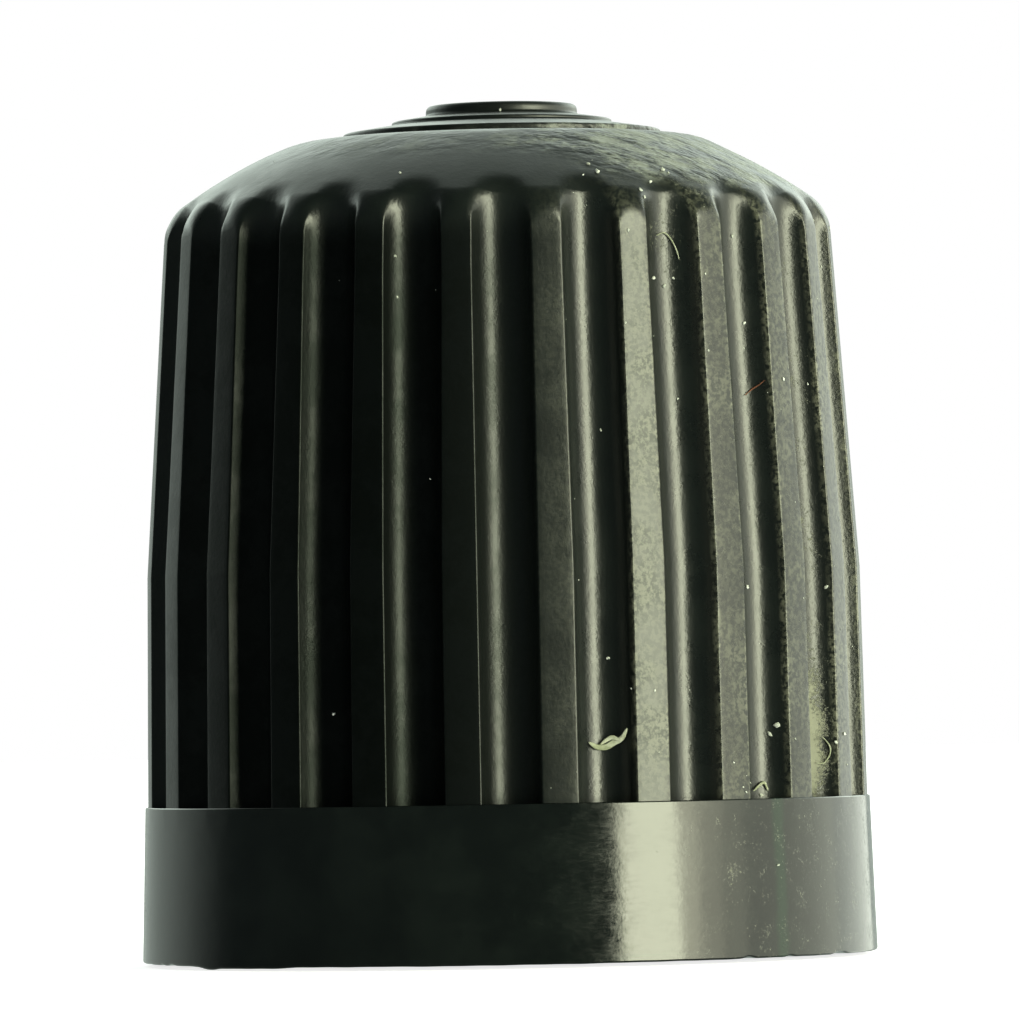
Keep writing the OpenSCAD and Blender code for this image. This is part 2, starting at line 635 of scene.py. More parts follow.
    def hollow_section(self) -> np.ndarray:
        """Half section from the thread's root up to the seat, round its sealing lip and into the well.

        Returns:
            Array of (radius, height) points.
        """
        corners = [
            Corner(self.thread_root_r, self.mouth_h + self.mouth_r - self.thread_root_r, run_steps=2),
            Corner(self.thread_root_r, self.thread_end_z, radius=0.04, turn_steps=2),
            Corner(self.pocket_r, self.pocket_z, radius=0.04, turn_steps=2),
            Corner(self.pocket_r, self.seat_z, radius=0.05, turn_steps=2),
            Corner(self.lip_r + self.lip_w, self.seat_z, radius=0.03, turn_steps=2),
            Corner(self.lip_r, self.seat_z - self.lip_h, radius=0.05, turn_steps=4),
            Corner(self.lip_r - self.lip_w, self.seat_z, radius=0.03, turn_steps=2),
            Corner(self.well_r, self.seat_z, radius=0.05, turn_steps=2, run_steps=2),
            Corner(self.well_r, self.well_z, self.well_edge, turn_steps=5),
            Corner(0, self.well_z),
        ]
        return rounded_path(corners, margin=0.03)[1:]

    def flute_depths(self, section: np.ndarray, normals: np.ndarray, angles: np.ndarray) -> np.ndarray:
        """Depth below the plain section at which the fluted skin lies, along the section's normal.

        A point is solid where it is below the plain section and outside the channel. The two are joined with
        a round edge: the skin is where min(max(a, b), -e) + length(max(a + e, 0), max(b + e, 0)) is zero, in
        which a is minus the depth, b is the channel's radius less the distance from its axis, and e is the
        edge's radius. The depth is found by halving an interval.

        Args:
            section: Points (radius, height) of the rows.
            normals: Outward normal of each row.
            angles: Angle of each grid point from the middle of its flute.

        Returns:
            Depth of each grid point.
        """
        halvings, tiny, deepest = 34, 1e-9, 1.3 * self.flutes.depth
        arch = self.shoulder_step(section[:, 1], self.arch_span)
        edge = (self.flutes.rib_edge + (self.flutes.arch_edge - self.flutes.rib_edge) * arch)[:, None]
        low, high = np.zeros(angles.shape), np.full(angles.shape, deepest)
        cosine, sine = np.cos(angles), np.sin(angles)
        for _ in range(halvings):
            depth = (low + high) / 2
            r = section[:, :1] - depth * normals[:, :1]
            z = section[:, 1:] - depth * normals[:, 1:]
            inside = self.flutes.radius - self.channel_distance(r * cosine, r * sine, z)
            both = np.hypot(np.maximum(edge - depth, 0), np.maximum(inside + edge, 0))
            value = np.minimum(np.maximum(-depth, inside), -edge) + both
            low, high = np.where(value > tiny, depth, low), np.where(value > tiny, high, depth)
        return high

    def shoulder_step(self, z: np.ndarray, span: tuple[float, float]) -> np.ndarray:
        """Smooth step between two heights counted from the shoulder's start."""
        return smooth_step(z, self.shoulder_z + span[0], self.shoulder_z + span[1])

    def channel_distance(self, x: np.ndarray, y: np.ndarray, z: np.ndarray) -> np.ndarray:
        """Distance from the nearer of a flute's two channel axes, one along each draft of the ribs.

        Args:
            x: Distance from the cap's axis along the flute's middle plane.
            y: Distance from that plane.
            z: Height above the rim.

        Returns:
            The distance at each point.
        """
        offset = self.channel_offset(z)
        sides = []
        for draft in (self.draft_low, self.draft_high):
            out = (x - self.bend_r) * math.cos(draft) + (z - self.bend_z) * math.sin(draft)
            sides.append(np.hypot(y, out - offset))
        return np.minimum(*sides)

    def channel_offset(self, z: np.ndarray) -> np.ndarray:
        """Distance of a channel's axis from the ribs' line, which grows where the channel runs out.

        Args:
            z: Height above the rim.

        Returns:
            The distance at each height.
        """
        rise = self.shoulder_step(z, self.run_out_span)
        return self.flutes.radius - self.flutes.depth + self.flutes.run_out * rise

    def column_angles(self, section: np.ndarray, relax: np.ndarray) -> np.ndarray:
        """Angles of the columns in each row, gathered at the ribs' edges and evened out beyond the flutes.

        Args:
            section: Points (radius, height) of the rows.
            relax: 0 in rows that follow the flutes and 1 in rows with even columns.

        Returns:
            Angles, one row per row of the grid.
        """
        z = section[:, 1]
        draft = np.where(z > self.bend_z, self.draft_high, self.draft_low)
        line = self.bend_r - (z - self.bend_z) * np.tan(draft)
        middle = line + self.channel_offset(z) / np.cos(draft)
        crest = np.clip(section[:, 0], self.least_crest_r, line)
        half = self.flutes.half_angles(crest, middle)
        even = np.linspace(0, self.flutes.half_pitch, half.shape[1])
        return self.flutes.all_angles(half + (even - half) * relax[:, None])

    def build(self) -> bpy.types.Object:
        """Builds the skin as one closed grid and replaces the plain CAD node with it.

        Returns:
            The cap's object.
        """
        crown, dome, grip = self.crown_section(), self.dome_section(), self.grip_section()
        rim, hollow = self.rim_section(), self.hollow_section()
        section = np.concatenate([crown, dome, grip, rim, hollow])
        counts = [len(crown), len(dome), len(grip), len(rim), len(hollow)]
        part = np.repeat(np.arange(len(counts)), counts)
        slope = np.gradient(section, axis=0)
        normals = np.stack([-slope[:, 1], slope[:, 0]], axis=1)
        normals /= np.linalg.norm(normals, axis=1, keepdims=True)
        fluted = (part == 1) | (part == 2)
        relax = np.where(fluted, self.shoulder_step(section[:, 1], self.even_span), 1.0)
        relax = np.where(part == 3, 1 - smooth_step(section[:, 1], self.gather_z, self.band_h), relax)
        angles = self.column_angles(np.where(fluted[:, None], section, [self.foot_r, self.band_h]), relax)
        depth = np.zeros(angles.shape)
        pitch = 2 * self.flutes.half_pitch
        local = (angles + pitch / 2) % pitch - pitch / 2
        depth[fluted] = self.flute_depths(section[fluted], normals[fluted], local[fluted])
        r = section[:, :1] - depth * normals[:, :1]
        z = section[:, 1:] - depth * normals[:, 1:] - self.rim_drop(section, part, angles)
        grid = np.stack([r * np.cos(angles) + self.crown_lean(section, part), r * np.sin(angles), z], axis=-1)
        edge = self.flutes.edge_columns() * (fluted * (1 - relax))[:, None]
        first = int(np.sum(counts[:3]))
        ledge = self.ledge_rows(grid, first)
        flat = np.zeros(ledge.shape[:2])
        grid = np.concatenate([grid[:first], ledge, grid[first:]])
        part = np.concatenate([part[:first], np.full(len(ledge), 3), part[first:]])
        masks = {
            "flute": np.concatenate([depth[:first] / self.flutes.depth, flat, depth[first:]]),
            "edge": np.concatenate([edge[:first], flat, edge[first:]]),
        }
        return self.close_up(grid, part, masks)

    def crown_lean(self, section: np.ndarray, part: np.ndarray) -> np.ndarray:
        """Shift of the crown's rows towards +X, because the steps and the pip stand off the axis.

        It is full as far out as the lower step and falls to 0 over the dome.

        Args:
            section: Points (radius, height) of the rows.
            part: Number of the stretch that each row belongs to.

        Returns:
            Shift of each row.
        """
        full_to, zero_from = self.step_r + 0.1, self.step_r + self.crown_shift_reach
        fade = 1 - smooth_step(section[:, 0], full_to, zero_from)
        return (self.crown_shift * fade * (part < 2))[:, None]

    def rim_drop(self, section: np.ndarray, part: np.ndarray, angles: np.ndarray) -> np.ndarray:
        """How far burrs, nicks and a slight waver pull the rim's outer edge down.

        The waver is the mean of three sines of the azimuth. The whole fades out up the band and across the
        rim's face.

        Args:
            section: Points (radius, height) of the rows.
            part: Number of the stretch that each row belongs to.
            angles: Angle of each grid point round the axis.

        Returns:
            Drop of each grid point.
        """
        top, inner, outer = 0.14, self.rim_r - 0.22, self.rim_r - 0.02
        up = 1 - smooth_step(section[:, 1], 0.0, top)
        across = smooth_step(section[:, 0], inner, outer)
        share = (up * across * (part == 3))[:, None]
        front = np.degrees(angles) + 90
        waves = sum(np.sin(count * angles + phase) for phase, count in enumerate(self.rim_waves))
        total = self.rim_waver * waves / len(self.rim_waves)
        for mark in self.rim_marks:
            total = total + mark.heights(front)
        return share * total

    def ledge_rows(self, grid: np.ndarray, first: int) -> np.ndarray:
        """Rows of the flat ledge between the foot of the grip and the band's upper edge.

        Each is a straight blend of the two rings.

        Args:
            grid: Grid of points so far.
            first: Row of the band's upper edge.

        Returns:
            The new rows.
        """
        share = np.array([0.06, 0.5, 0.94])[:, None, None]
        return grid[first - 1] + share * (grid[first] - grid[first - 1])

    def close_up(self, grid: np.ndarray, part: np.ndarray, masks: dict[str, np.ndarray]) -> bpy.types.Object:
        """Turns the grid into a mesh that closes in a point at the crown and at the well.

        Args:
            grid: Points by row and column. The first and last rows have no radius and become the end points.
            part: Number of the stretch that each row belongs to.
            masks: Values of each grid point by name.

        Returns:
            The cap's object, with its zones and masks.
        """
        body = grid[1:-1]
        rows, columns = body.shape[:2]
        points = np.concatenate([body.reshape(-1, 3), grid[:1, 0], grid[-1:, 0]])
        faces = grid_faces(rows, columns, True)
        zone_of = np.array([Zone.SATIN, Zone.SATIN, Zone.SATIN, Zone.BAND, Zone.INSIDE])
        row_zone = np.array([zone_of[p].value for p in part[1:-1]])
        crown, well = (np.full(columns, zone.value) for zone in (Zone.SATIN, Zone.INSIDE))
        zones = np.concatenate([np.repeat(row_zone[1:], columns), crown, well])
        cap = make_piece(self.name, points, faces, zones)
        for key, values in masks.items():
            vertex_mask(cap, key, np.concatenate([values[1:-1].reshape(-1), [0, 0]]))
        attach(cap, "root")
        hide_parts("cap")
        log.info("%s: %d rows by %d columns, %d faces", self.name, rows, columns, len(faces))
        return cap


@dataclass
class InsideThread:
    """The V thread that stands on the bore's wall, a profile carried along a right-handed helix.

    Attributes:
        root_r: Radius of the bore's wall.
        crest_r: Radius of the thread's crests.
        pitch: Rise in one turn.
        start_z: Height at which the thread starts.
        end_z: Height at which it ends.
        crest_w: Width of the flat on the crest.
        sink: Depth by which the profile reaches into the wall.
        flank: Slope of the profile's flanks in degrees.
        room: Height that the helix leaves free at both ends together, in turns.
        fade: Angle in radians over which the profile grows from nothing.
        thin: Share of the profile's width that its ends keep.
        turn_steps: Grid steps in one turn.
        name: Name of the piece.
    """

    root_r: float
    end_z: float
    crest_r: float = 3.44
    pitch: float = 0.794
    start_z: float = 1.1
    crest_w: float = 0.1
    sink: float = 0.04
    flank: float = 30.0
    room: float = 0.6
    fade: float = 2.2
    thin: float = 0.3
    turn_steps: int = 72
    name: str = "inside_thread"

    def build(self) -> bpy.types.Object:
        """Builds the thread as a closed tube of its V profile.

        A point of the profile at distance q from the wall and height p from the helix goes to radius
        (root - q), angle a and height (start + pitch times a / one turn + p). The profile sinks into the wall
        at both ends.

        Returns:
            The thread's object.
        """
        room = self.pitch * self.room
        turns = (self.end_z - self.start_z - room) / self.pitch
        steps = int(turns * self.turn_steps)
        angle = np.linspace(0, 2 * math.pi * turns, steps + 1)
        height = self.root_r - self.crest_r
        flank = height * math.tan(math.radians(self.flank))
        half = self.crest_w / 2
        across = np.array([-self.sink, 0.5 * height, 0.94 * height, height])
        across = np.concatenate([across, across[::-1]])
        along = np.array([half + flank, half + flank / 2, half + 0.02, half * 0.5])
        along = np.concatenate([along, -along[::-1]])
        fade = smooth_step(angle, 0, self.fade) * smooth_step(angle[-1] - angle, 0, self.fade)
        low = -self.sink * 1.5
        q = low + (across[None, :] - low) * fade[:, None]
        p = along[None, :] * (self.thin + (1 - self.thin) * fade[:, None])
        r = self.root_r - q
        z = self.start_z + room / 2 + self.pitch * angle[:, None] / (2 * math.pi) + p
        grid = np.stack([r * np.cos(angle)[:, None], r * np.sin(angle)[:, None], z], axis=-1)
        points = np.concatenate([grid.reshape(-1, 3), grid[:1].mean(1), grid[-1:].mean(1)])
        thread = make_piece(self.name, points, grid_faces(len(grid), len(along), True))
        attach(thread, "root")
        log.info("%s: %.1f turns", self.name, turns)
        return thread


# Dust, lint and fibres


@dataclass
class SkinFinder:
    """Finds places on the cap's skin.

    Attributes:
        skin: The cap's object.
        camera: Camera whose pixels name places.
        start_r: Distance from the axis at which a level look starts.
    """

    skin: bpy.types.Object
    camera: "PhotoCamera"
    start_r: float = 20.0

    def __post_init__(self) -> None:
        """Builds the search tree."""
        self.tree = BVHTree.FromObject(self.skin, bpy.context.evaluated_depsgraph_get())

    def hit(self, origin: Vector, way: Vector) -> tuple[np.ndarray, np.ndarray] | None:
        """First point of the skin along a ray.

        Args:
            origin: Start of the ray in metres.
            way: Direction of the ray.

        Returns:
            Place in millimetres and outward normal, or None where the ray misses.
        """
        place, normal, _, _ = self.tree.ray_cast(origin, way)
        if place is None:
            return None
        return np.array(place) / MM, np.array(normal)

    def at_pixel(self, column: float, row: float) -> tuple[np.ndarray, np.ndarray] | None:
        """Place that a pixel of the photograph shows.

        Args:
            column: Column of the pixel.
            row: Row of the pixel.

        Returns:
            Place and normal, or None where the pixel shows the background.
        """
        return self.hit(*self.camera.ray(column, row))

    def at_side(self, azimuth: float, height: float) -> tuple[np.ndarray, np.ndarray] | None:
        """Place seen from outside at an azimuth and a height, looking level at the axis.

        Args:
            azimuth: Degrees from the front towards +X.
            height: Height above the rim in millimetres.

        Returns:
            Place and normal.
        """
        a = math.radians(azimuth)
        out = Vector((math.sin(a), -math.cos(a), 0))
        return self.hit(out * self.start_r * MM + Vector((0, 0, height * MM)), -out)


@dataclass(frozen=True)
class Speck:
    """A grain of dust that the photograph shows.

    Attributes:
        column: Column of the pixel that shows it.
        row: Row of that pixel.
        size: Width of the grain.
        stretch: Its length as a multiple of its width.
    """

    column: float
    row: float
    size: float
    stretch: float = 1.0


@dataclass
class DustGrains:
    """Loose grains on the skin: those that the photograph shows, and finer ones strewn round the cap.

    Attributes:
        finder: Finds places on the skin.
        specks: Grains that the photograph shows.
        strewn: Number of finer grains.
        finest: Width of the finest grain.
        coarsest: Width of the coarsest strewn grain.
        thin_power: Power that makes fine ones more frequent than coarse ones.
        longest: Greatest length of a strewn grain as a multiple of its width.
        flatness: Height of a grain as a share of its width.
        heights: Heights between which they are strewn.
        worn_azimuth: Middle of the side that most of them lie on, in degrees from the front.
        worn_spread: How far they scatter round it, as a standard deviation in degrees.
        worn_share: Share of them that lie there.
        swells: Strengths of the two and the three waves round a grain.
        lift: How far a grain's middle stands off the skin, as a share of its height.
        rings: Rings of a grain's grid.
        spokes: Columns of a grain's grid.
        seed: Start of the random draws.
        name: Name of the piece.
    """

    finder: SkinFinder
    specks: tuple[Speck, ...] = (
        Speck(588, 164, 0.05),
        Speck(597, 172, 0.075),
        Speck(583, 175, 0.03),
        Speck(662, 170, 0.075),
        Speck(668, 173, 0.04),
        Speck(650, 182, 0.05),
        Speck(640, 190, 0.055),
        Speck(644, 197, 0.045),
        Speck(628, 230, 0.04),
        Speck(653, 278, 0.06),
        Speck(664, 286, 0.055),
        Speck(673, 278, 0.04),
        Speck(732, 236, 0.045),
        Speck(744, 323, 0.045),
        Speck(783, 379, 0.045),
        Speck(747, 587, 0.05),
        Speck(826, 587, 0.06),
        Speck(777, 725, 0.07, 1.6),
        Speck(769.7, 734, 0.05, 1.7),
        Speck(761, 795, 0.045, 1.4),
        Speck(746, 792, 0.03),
        Speck(743, 787, 0.025),
        Speck(750, 783, 0.025),
        Speck(836, 742, 0.045),
        Speck(844, 734, 0.05),
        Speck(334, 714, 0.045),
        Speck(608, 658, 0.05),
        Speck(400, 173, 0.04),
        Speck(395, 256, 0.045),
        Speck(397, 297, 0.035),
        Speck(778, 865, 0.03, 1.8),
        Speck(500, 110, 0.04),
    )
    strewn: int = 110
    finest: float = 0.01
    coarsest: float = 0.03
    thin_power: float = 2.5
    longest: float = 1.8
    flatness: float = 0.6
    heights: tuple[float, float] = (2.15, 10.9)
    worn_azimuth: float = 58.0
    worn_spread: float = 30.0
    worn_share: float = 0.7
    swells: tuple[float, float] = (0.24, 0.16)
    lift: float = 0.3
    rings: int = 4
    spokes: int = 7
    seed: int = 11
    name: str = "dust_grains"

    def places(self) -> tuple[np.ndarray, np.ndarray, np.ndarray]:
        """Places, normals and sizes of all grains.

        Returns:
            Three arrays with a row per grain. A size is width, length and height.
        """
        draw = np.random.default_rng(self.seed)
        found = []
        for speck in self.specks:
            spot = self.finder.at_pixel(speck.column, speck.row)
            if spot is not None:
                found.append((*spot, (speck.size, speck.size * speck.stretch, speck.size * self.flatness)))
        for _ in range(self.strewn):
            if draw.random() < self.worn_share:
                azimuth = self.worn_azimuth + draw.normal(0, self.worn_spread)
            else:
                azimuth = draw.uniform(-180, 180)
            height = draw.uniform(*self.heights)
            width = self.finest + (self.coarsest - self.finest) * draw.random() ** self.thin_power
            spot = self.finder.at_side(azimuth, height)
            if spot is not None:
                found.append((*spot, (width, width * draw.uniform(1, self.longest), width * self.flatness)))
        return tuple(np.array([grain[k] for grain in found]) for k in range(3))

    def build(self) -> bpy.types.Object:
        """Builds all grains as one mesh.

        A grain is a ball whose radius swells and dips with two sets of waves round it. It is squeezed to its
        width, length and height along two tangents and the normal of the skin, and sunk a little into it.

        Returns:
            The grains' object.
        """
        centres, normals, sizes = self.places()
        draw = np.random.default_rng(self.seed + 1)
        count = len(centres)
        polar = np.linspace(0, math.pi, self.rings + 2)
        ring, spoke = polar[1:-1], np.linspace(0, 2 * math.pi, self.spokes, endpoint=False)
        ball = np.stack(
            [
                np.sin(ring)[:, None] * np.cos(spoke),
                np.sin(ring)[:, None] * np.sin(spoke),
                np.cos(ring)[:, None] + 0 * spoke,
            ],
            axis=-1,
        ).reshape(-1, 3)
        around = np.tile(spoke, self.rings)
        phase = draw.uniform(0, 2 * math.pi, (count, 2, 1))
        two, three = self.swells
        swell = 1 + two * np.sin(2 * around + phase[:, 0]) + three * np.sin(3 * around + phase[:, 1])
        poles = np.tile([[0, 0, 1.0], [0, 0, -1.0]], (count, 1, 1))
        shape = np.concatenate([ball * swell[..., None], poles], axis=1)
        spin = draw.normal(size=(count, 3))
        first = np.cross(normals, spin)
        first /= np.linalg.norm(first, axis=1, keepdims=True)
        axes = np.stack([first, np.cross(normals, first), normals], axis=1)
        middles = centres + normals * sizes[:, 2:] * self.lift
        points = (shape * sizes[:, None] / 2) @ axes + middles[:, None]
        faces = grid_faces(self.rings, self.spokes, True)
        offset = np.arange(count) * (self.rings * self.spokes + 2)
        all_faces = (faces + offset[:, None, None]).reshape(-1, 4)
        grains = make_piece(self.name, points.reshape(-1, 3), all_faces)
        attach(grains, "root")
        log.info("%s: %d grains", self.name, count)
        return grains


@dataclass
class Strand:
    """A fibre or a shred of lint that lies on the skin.

    Attributes:
        name: Name of the piece.
        pixels: Pixels of the photograph that it passes through, as (column, row).
        width: Width across the skin.
        thickness: Thickness away from the skin.
        lift: Height of its middle above the skin.
        steps: Steps along it.
        sides: Points round it.
    """

    name: str
    pixels: tuple[tuple[float, float], ...]
    width: float
    thickness: float
    lift: float
    steps: int = 30
    sides: int = 8

    def route(self, finder: SkinFinder) -> tuple[np.ndarray, np.ndarray]:
        """Smooth line through the places that the pixels show, raised off the skin.

        Between two places it is the curve whose slope at each place is half the step between its neighbours.

        Args:
            finder: Finds places on the skin.

        Returns:
            Points along the line and the mean normal of the skin.
        """
        spots = [spot for spot in (finder.at_pixel(*pixel) for pixel in self.pixels) if spot is not None]
        normal = np.mean([way for _, way in spots], axis=0)
        normal /= np.linalg.norm(normal)
        knots = np.array([place for place, _ in spots]) + normal * self.lift
        slopes = np.gradient(knots, axis=0)
        t = np.linspace(0, len(knots) - 1, self.steps + 1)
        k = np.minimum(t.astype(int), len(knots) - 2)
        u = (t - k)[:, None]
        a, b = knots[k], knots[k + 1]
        line = (2 * u**3 - 3 * u**2 + 1) * a + (3 * u**2 - 2 * u**3) * b
        return line + (u**3 - 2 * u**2 + u) * slopes[k] + (u**3 - u**2) * slopes[k + 1], normal

    def build(self, finder: SkinFinder) -> bpy.types.Object:
        """Carries a flat oval along the route. It narrows to a point at both ends.

        A point of the oval at angle b is the route's point plus half the width times cos b across the skin,
        plus half the thickness times sin b away from it.

        Args:
            finder: Finds places on the skin.

        Returns:
            The strand's object.
        """
        line, normal = self.route(finder)
        along = np.gradient(line, axis=0)
        side = np.cross(along, normal)
        side /= np.linalg.norm(side, axis=1, keepdims=True)
        away = np.cross(side, along)
        away /= np.linalg.norm(away, axis=1, keepdims=True)
        share = np.linspace(0, 1, len(line))
        fade = np.sqrt(np.clip(4 * share * (1 - share), 0, 1))[1:-1, None, None]
        b = np.linspace(0, 2 * math.pi, self.sides, endpoint=False)[None, :, None]
        flat = self.width / 2 * np.cos(b) * side[1:-1, None]
        oval = flat + self.thickness / 2 * np.sin(b) * away[1:-1, None]
        grid = line[1:-1, None] + fade * oval
        points = np.concatenate([grid.reshape(-1, 3), line[:1], line[-1:]])
        strand = make_piece(self.name, points, grid_faces(len(grid), self.sides, True))
        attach(strand, "root")
        log.info("%s: %d steps", self.name, self.steps)
        return strand


# Node trees


class Tree:
    """Shorthand for building a node tree."""

    def __init__(self, tree: NodeGroup) -> None:
        """Takes the tree that the nodes go into."""
        self.tree = tree

    def node(self, kind: str, settings: dict[str, object] | None = None, **inputs: object) -> bpy.types.Node:
        """Adds a node, sets its options and sets or links its inputs.

        Args:
            kind: Blender's name of the node.
            settings: Options of the node.
            **inputs: Values or sockets by input name, with _ for a space. i0 means the first input.

        Returns:
            The new node.
        """
        made = self.tree.nodes.new(kind)
        for key, value in (settings or {}).items():
            setattr(made, key, value)
        for key, value in inputs.items():
            numbered = key[0] == "i" and key[1:].isdigit()
            self.put(value, made.inputs[int(key[1:]) if numbered else key.replace("_", " ")])
        return made

    def put(self, value: object, socket: Socket) -> None:
        """Links a socket to an input, or sets the input to a plain value."""
        if isinstance(value, Socket):
            self.tree.links.new(value, socket)
        else:
            socket.default_value = value

    def math(self, operation: str, *values: object) -> Socket:
        """Adds a Math node and gives its result."""
        inputs = {f"i{k}": value for k, value in enumerate(values)}
        return self.node("ShaderNodeMath", {"operation": operation}, **inputs).outputs[0]

    def times(self, *values: object) -> Socket:
        """Multiplies values in their order."""
        return reduce(lambda a, b: self.math("MULTIPLY", a, b), values)

    def plus(self, *values: object) -> Socket:
        """Adds values up in their order."""
        return reduce(lambda a, b: self.math("ADD", a, b), values)

    def span(
        self, value: object, low: object, high: object, to_low: object = 0.0, to_high: object = 1.0
    ) -> Socket:
        """Adds a smooth Map Range node and gives its result."""
        made = self.node("ShaderNodeMapRange", {"interpolation_type": "SMOOTHSTEP"}, Value=value)
        for key, number in (("From Min", low), ("From Max", high), ("To Min", to_low), ("To Max", to_high)):
            self.put(number, made.inputs[key])
        return made.outputs[0]

    def noise(self, place: object, scale: float, detail: float = 3.0, roughness: float = 0.6) -> Socket:
        """Adds a Noise Texture node and gives its value, about 0.5 on average."""
        inputs = {"Vector": place, "Scale": scale, "Detail": detail, "Roughness": roughness}
        return self.node("ShaderNodeTexNoise", None, **inputs).outputs["Fac"]

    def vector(self, operation: str, *values: object) -> bpy.types.Node:
        """Adds a Vector Math node."""
        inputs = {f"i{k}": value for k, value in enumerate(values)}
        return self.node("ShaderNodeVectorMath", {"operation": operation}, **inputs)

    def scaled(self, place: object, factors: Triple) -> Socket:
        """Adds a node that multiplies a vector by three factors and gives its result."""
        return self.vector("MULTIPLY", place, factors).outputs[0]

    def mix(self, share: object, a: object, b: object) -> Socket:
        """Adds a colour Mix node and gives its result."""
        made = self.node("ShaderNodeMix", {"data_type": "RGBA"})
        for socket, value in ((made.inputs[0], share), (made.inputs[6], a), (made.inputs[7], b)):
            self.put(value, socket)
        return made.outputs[2]

    def group(self, group: NodeGroup, **inputs: object) -> bpy.types.Node:
        """Places a node group and sets or links its inputs."""
        return self.node("ShaderNodeGroup", {"node_tree": group}, **inputs)

    def attribute(self, name: str) -> Socket:
        """Reads a number that the mesh holds at each vertex."""
        return self.node("ShaderNodeAttribute", {"attribute_name": name}).outputs["Fac"]

    def object_place(self) -> Socket:
        """Reads the Object coordinates."""
        return self.node("ShaderNodeTexCoord").outputs["Object"]

    def height(self, place: Socket) -> Socket:
        """Reads the height above the rim."""
        return self.node("ShaderNodeSeparateXYZ", None, Vector=place).outputs["Z"]


def new_material(name: str) -> tuple[bpy.types.Material, Tree, bpy.types.Node]:
    """Starts a material.

    Args:
        name: Name of the material.

    Returns:
        The material, the shorthand of its tree and its shader.
    """
    material = bpy.data.materials.new(name)
    material.use_nodes = True
    return material, Tree(material.node_tree), material.node_tree.nodes["Principled BSDF"]


def new_group(
    name: str, inputs: dict[str, object], outputs: tuple[str, ...]
) -> tuple[NodeGroup, Tree, bpy.types.NodeOutputs, bpy.types.NodeInputs]:
    """Starts a shader node group with named sockets.

    Args:
        name: Name of the group.
        inputs: Default of each number input by name, or None for a vector.
        outputs: Names of the number outputs.

    Returns:
        The group, its shorthand, the sockets of its inputs and those of its outputs.
    """
    group = bpy.data.node_groups.new(name, "ShaderNodeTree")
    for key, value in inputs.items():
        kind = "NodeSocketVector" if value is None else "NodeSocketFloat"
        socket = group.interface.new_socket(key, in_out="INPUT", socket_type=kind)
        if value is not None:
            socket.default_value = value
    for key in outputs:
        group.interface.new_socket(key, in_out="OUTPUT", socket_type="NodeSocketFloat")
    sheet = Tree(group)
    return group, sheet, sheet.node("NodeGroupInput").outputs, sheet.node("NodeGroupOutput").inputs


def grain_group() -> NodeGroup:
    """Fine grain and slow unevenness that a moulding takes from its mould.

    Returns:
        Group with the grain's height, the unevenness's height and a mottle, all from 0 to 1.
    """
    uneven_scale, mottle_scale = 1300, 1100
    inputs = {"Vector": None, "Scale": 15000}
    group, sheet, given, made = new_group("moulded_grain", inputs, ("Grain", "Uneven", "Mottle"))
    place = given["Vector"]
    sheet.put(sheet.noise(place, given["Scale"], 3, 0.65), made["Grain"])
    sheet.put(sheet.noise(place, uneven_scale, 2, 0.5), made["Uneven"])
    sheet.put(sheet.span(sheet.noise(place, mottle_scale, 6, 0.72), 0.36, 0.66), made["Mottle"])
    return group


def patch_group() -> NodeGroup:
    """A soft patch of the skin round one azimuth and between two heights.

    The mask is the product of three smooth steps: one of the cosine of the angle round the axis between the
    place and the patch's middle, and two of the height.

    Returns:
        Group with the patch's mask.
    """
    inputs = {"Vector": None, "Toward": None, "Edge": 0.9, "Low": 0.002, "High": 0.01, "Soft": 0.0006}
    group, sheet, given, made = new_group("skin_patch", inputs, ("Mask",))
    place, soft = given["Vector"], given["Soft"]
    way = sheet.vector("NORMALIZE", sheet.scaled(place, (1, 1, 0))).outputs[0]
    turn = sheet.vector("DOT_PRODUCT", way, given["Toward"]).outputs["Value"]
    side = sheet.span(turn, given["Edge"], 1.0)
    z = sheet.height(place)
    low, high = given["Low"], given["High"]
    above = sheet.span(z, sheet.math("SUBTRACT", low, soft), sheet.plus(low, soft))
    below = sheet.span(z, sheet.math("SUBTRACT", high, soft), sheet.plus(high, soft), 1.0, 0.0)
    sheet.put(sheet.times(side, sheet.times(above, below)), made["Mask"])
    return group


def dust_group() -> NodeGroup:
    """Fine dust that gathers in clumps.

    The mask is the noise of the dust and of its clumps, cut off at a height that falls as the amount grows.

    Returns:
        Group with the dust's mask.
    """
    fine_scale, clump_scale, fine_share, pull = 24000, 3600, 0.66, 0.3
    group, sheet, given, made = new_group("fine_dust", {"Vector": None, "Amount": 0.5}, ("Mask",))
    place = given["Vector"]
    fine, clumps = sheet.noise(place, fine_scale, 4, 0.8), sheet.noise(place, clump_scale, 4, 0.65)
    both = sheet.plus(sheet.times(fine, fine_share), sheet.times(clumps, 1 - fine_share))
    above = sheet.plus(both, sheet.times(given["Amount"], pull))
    sheet.put(sheet.span(above, 0.64, 0.82), made["Mask"])
    return group


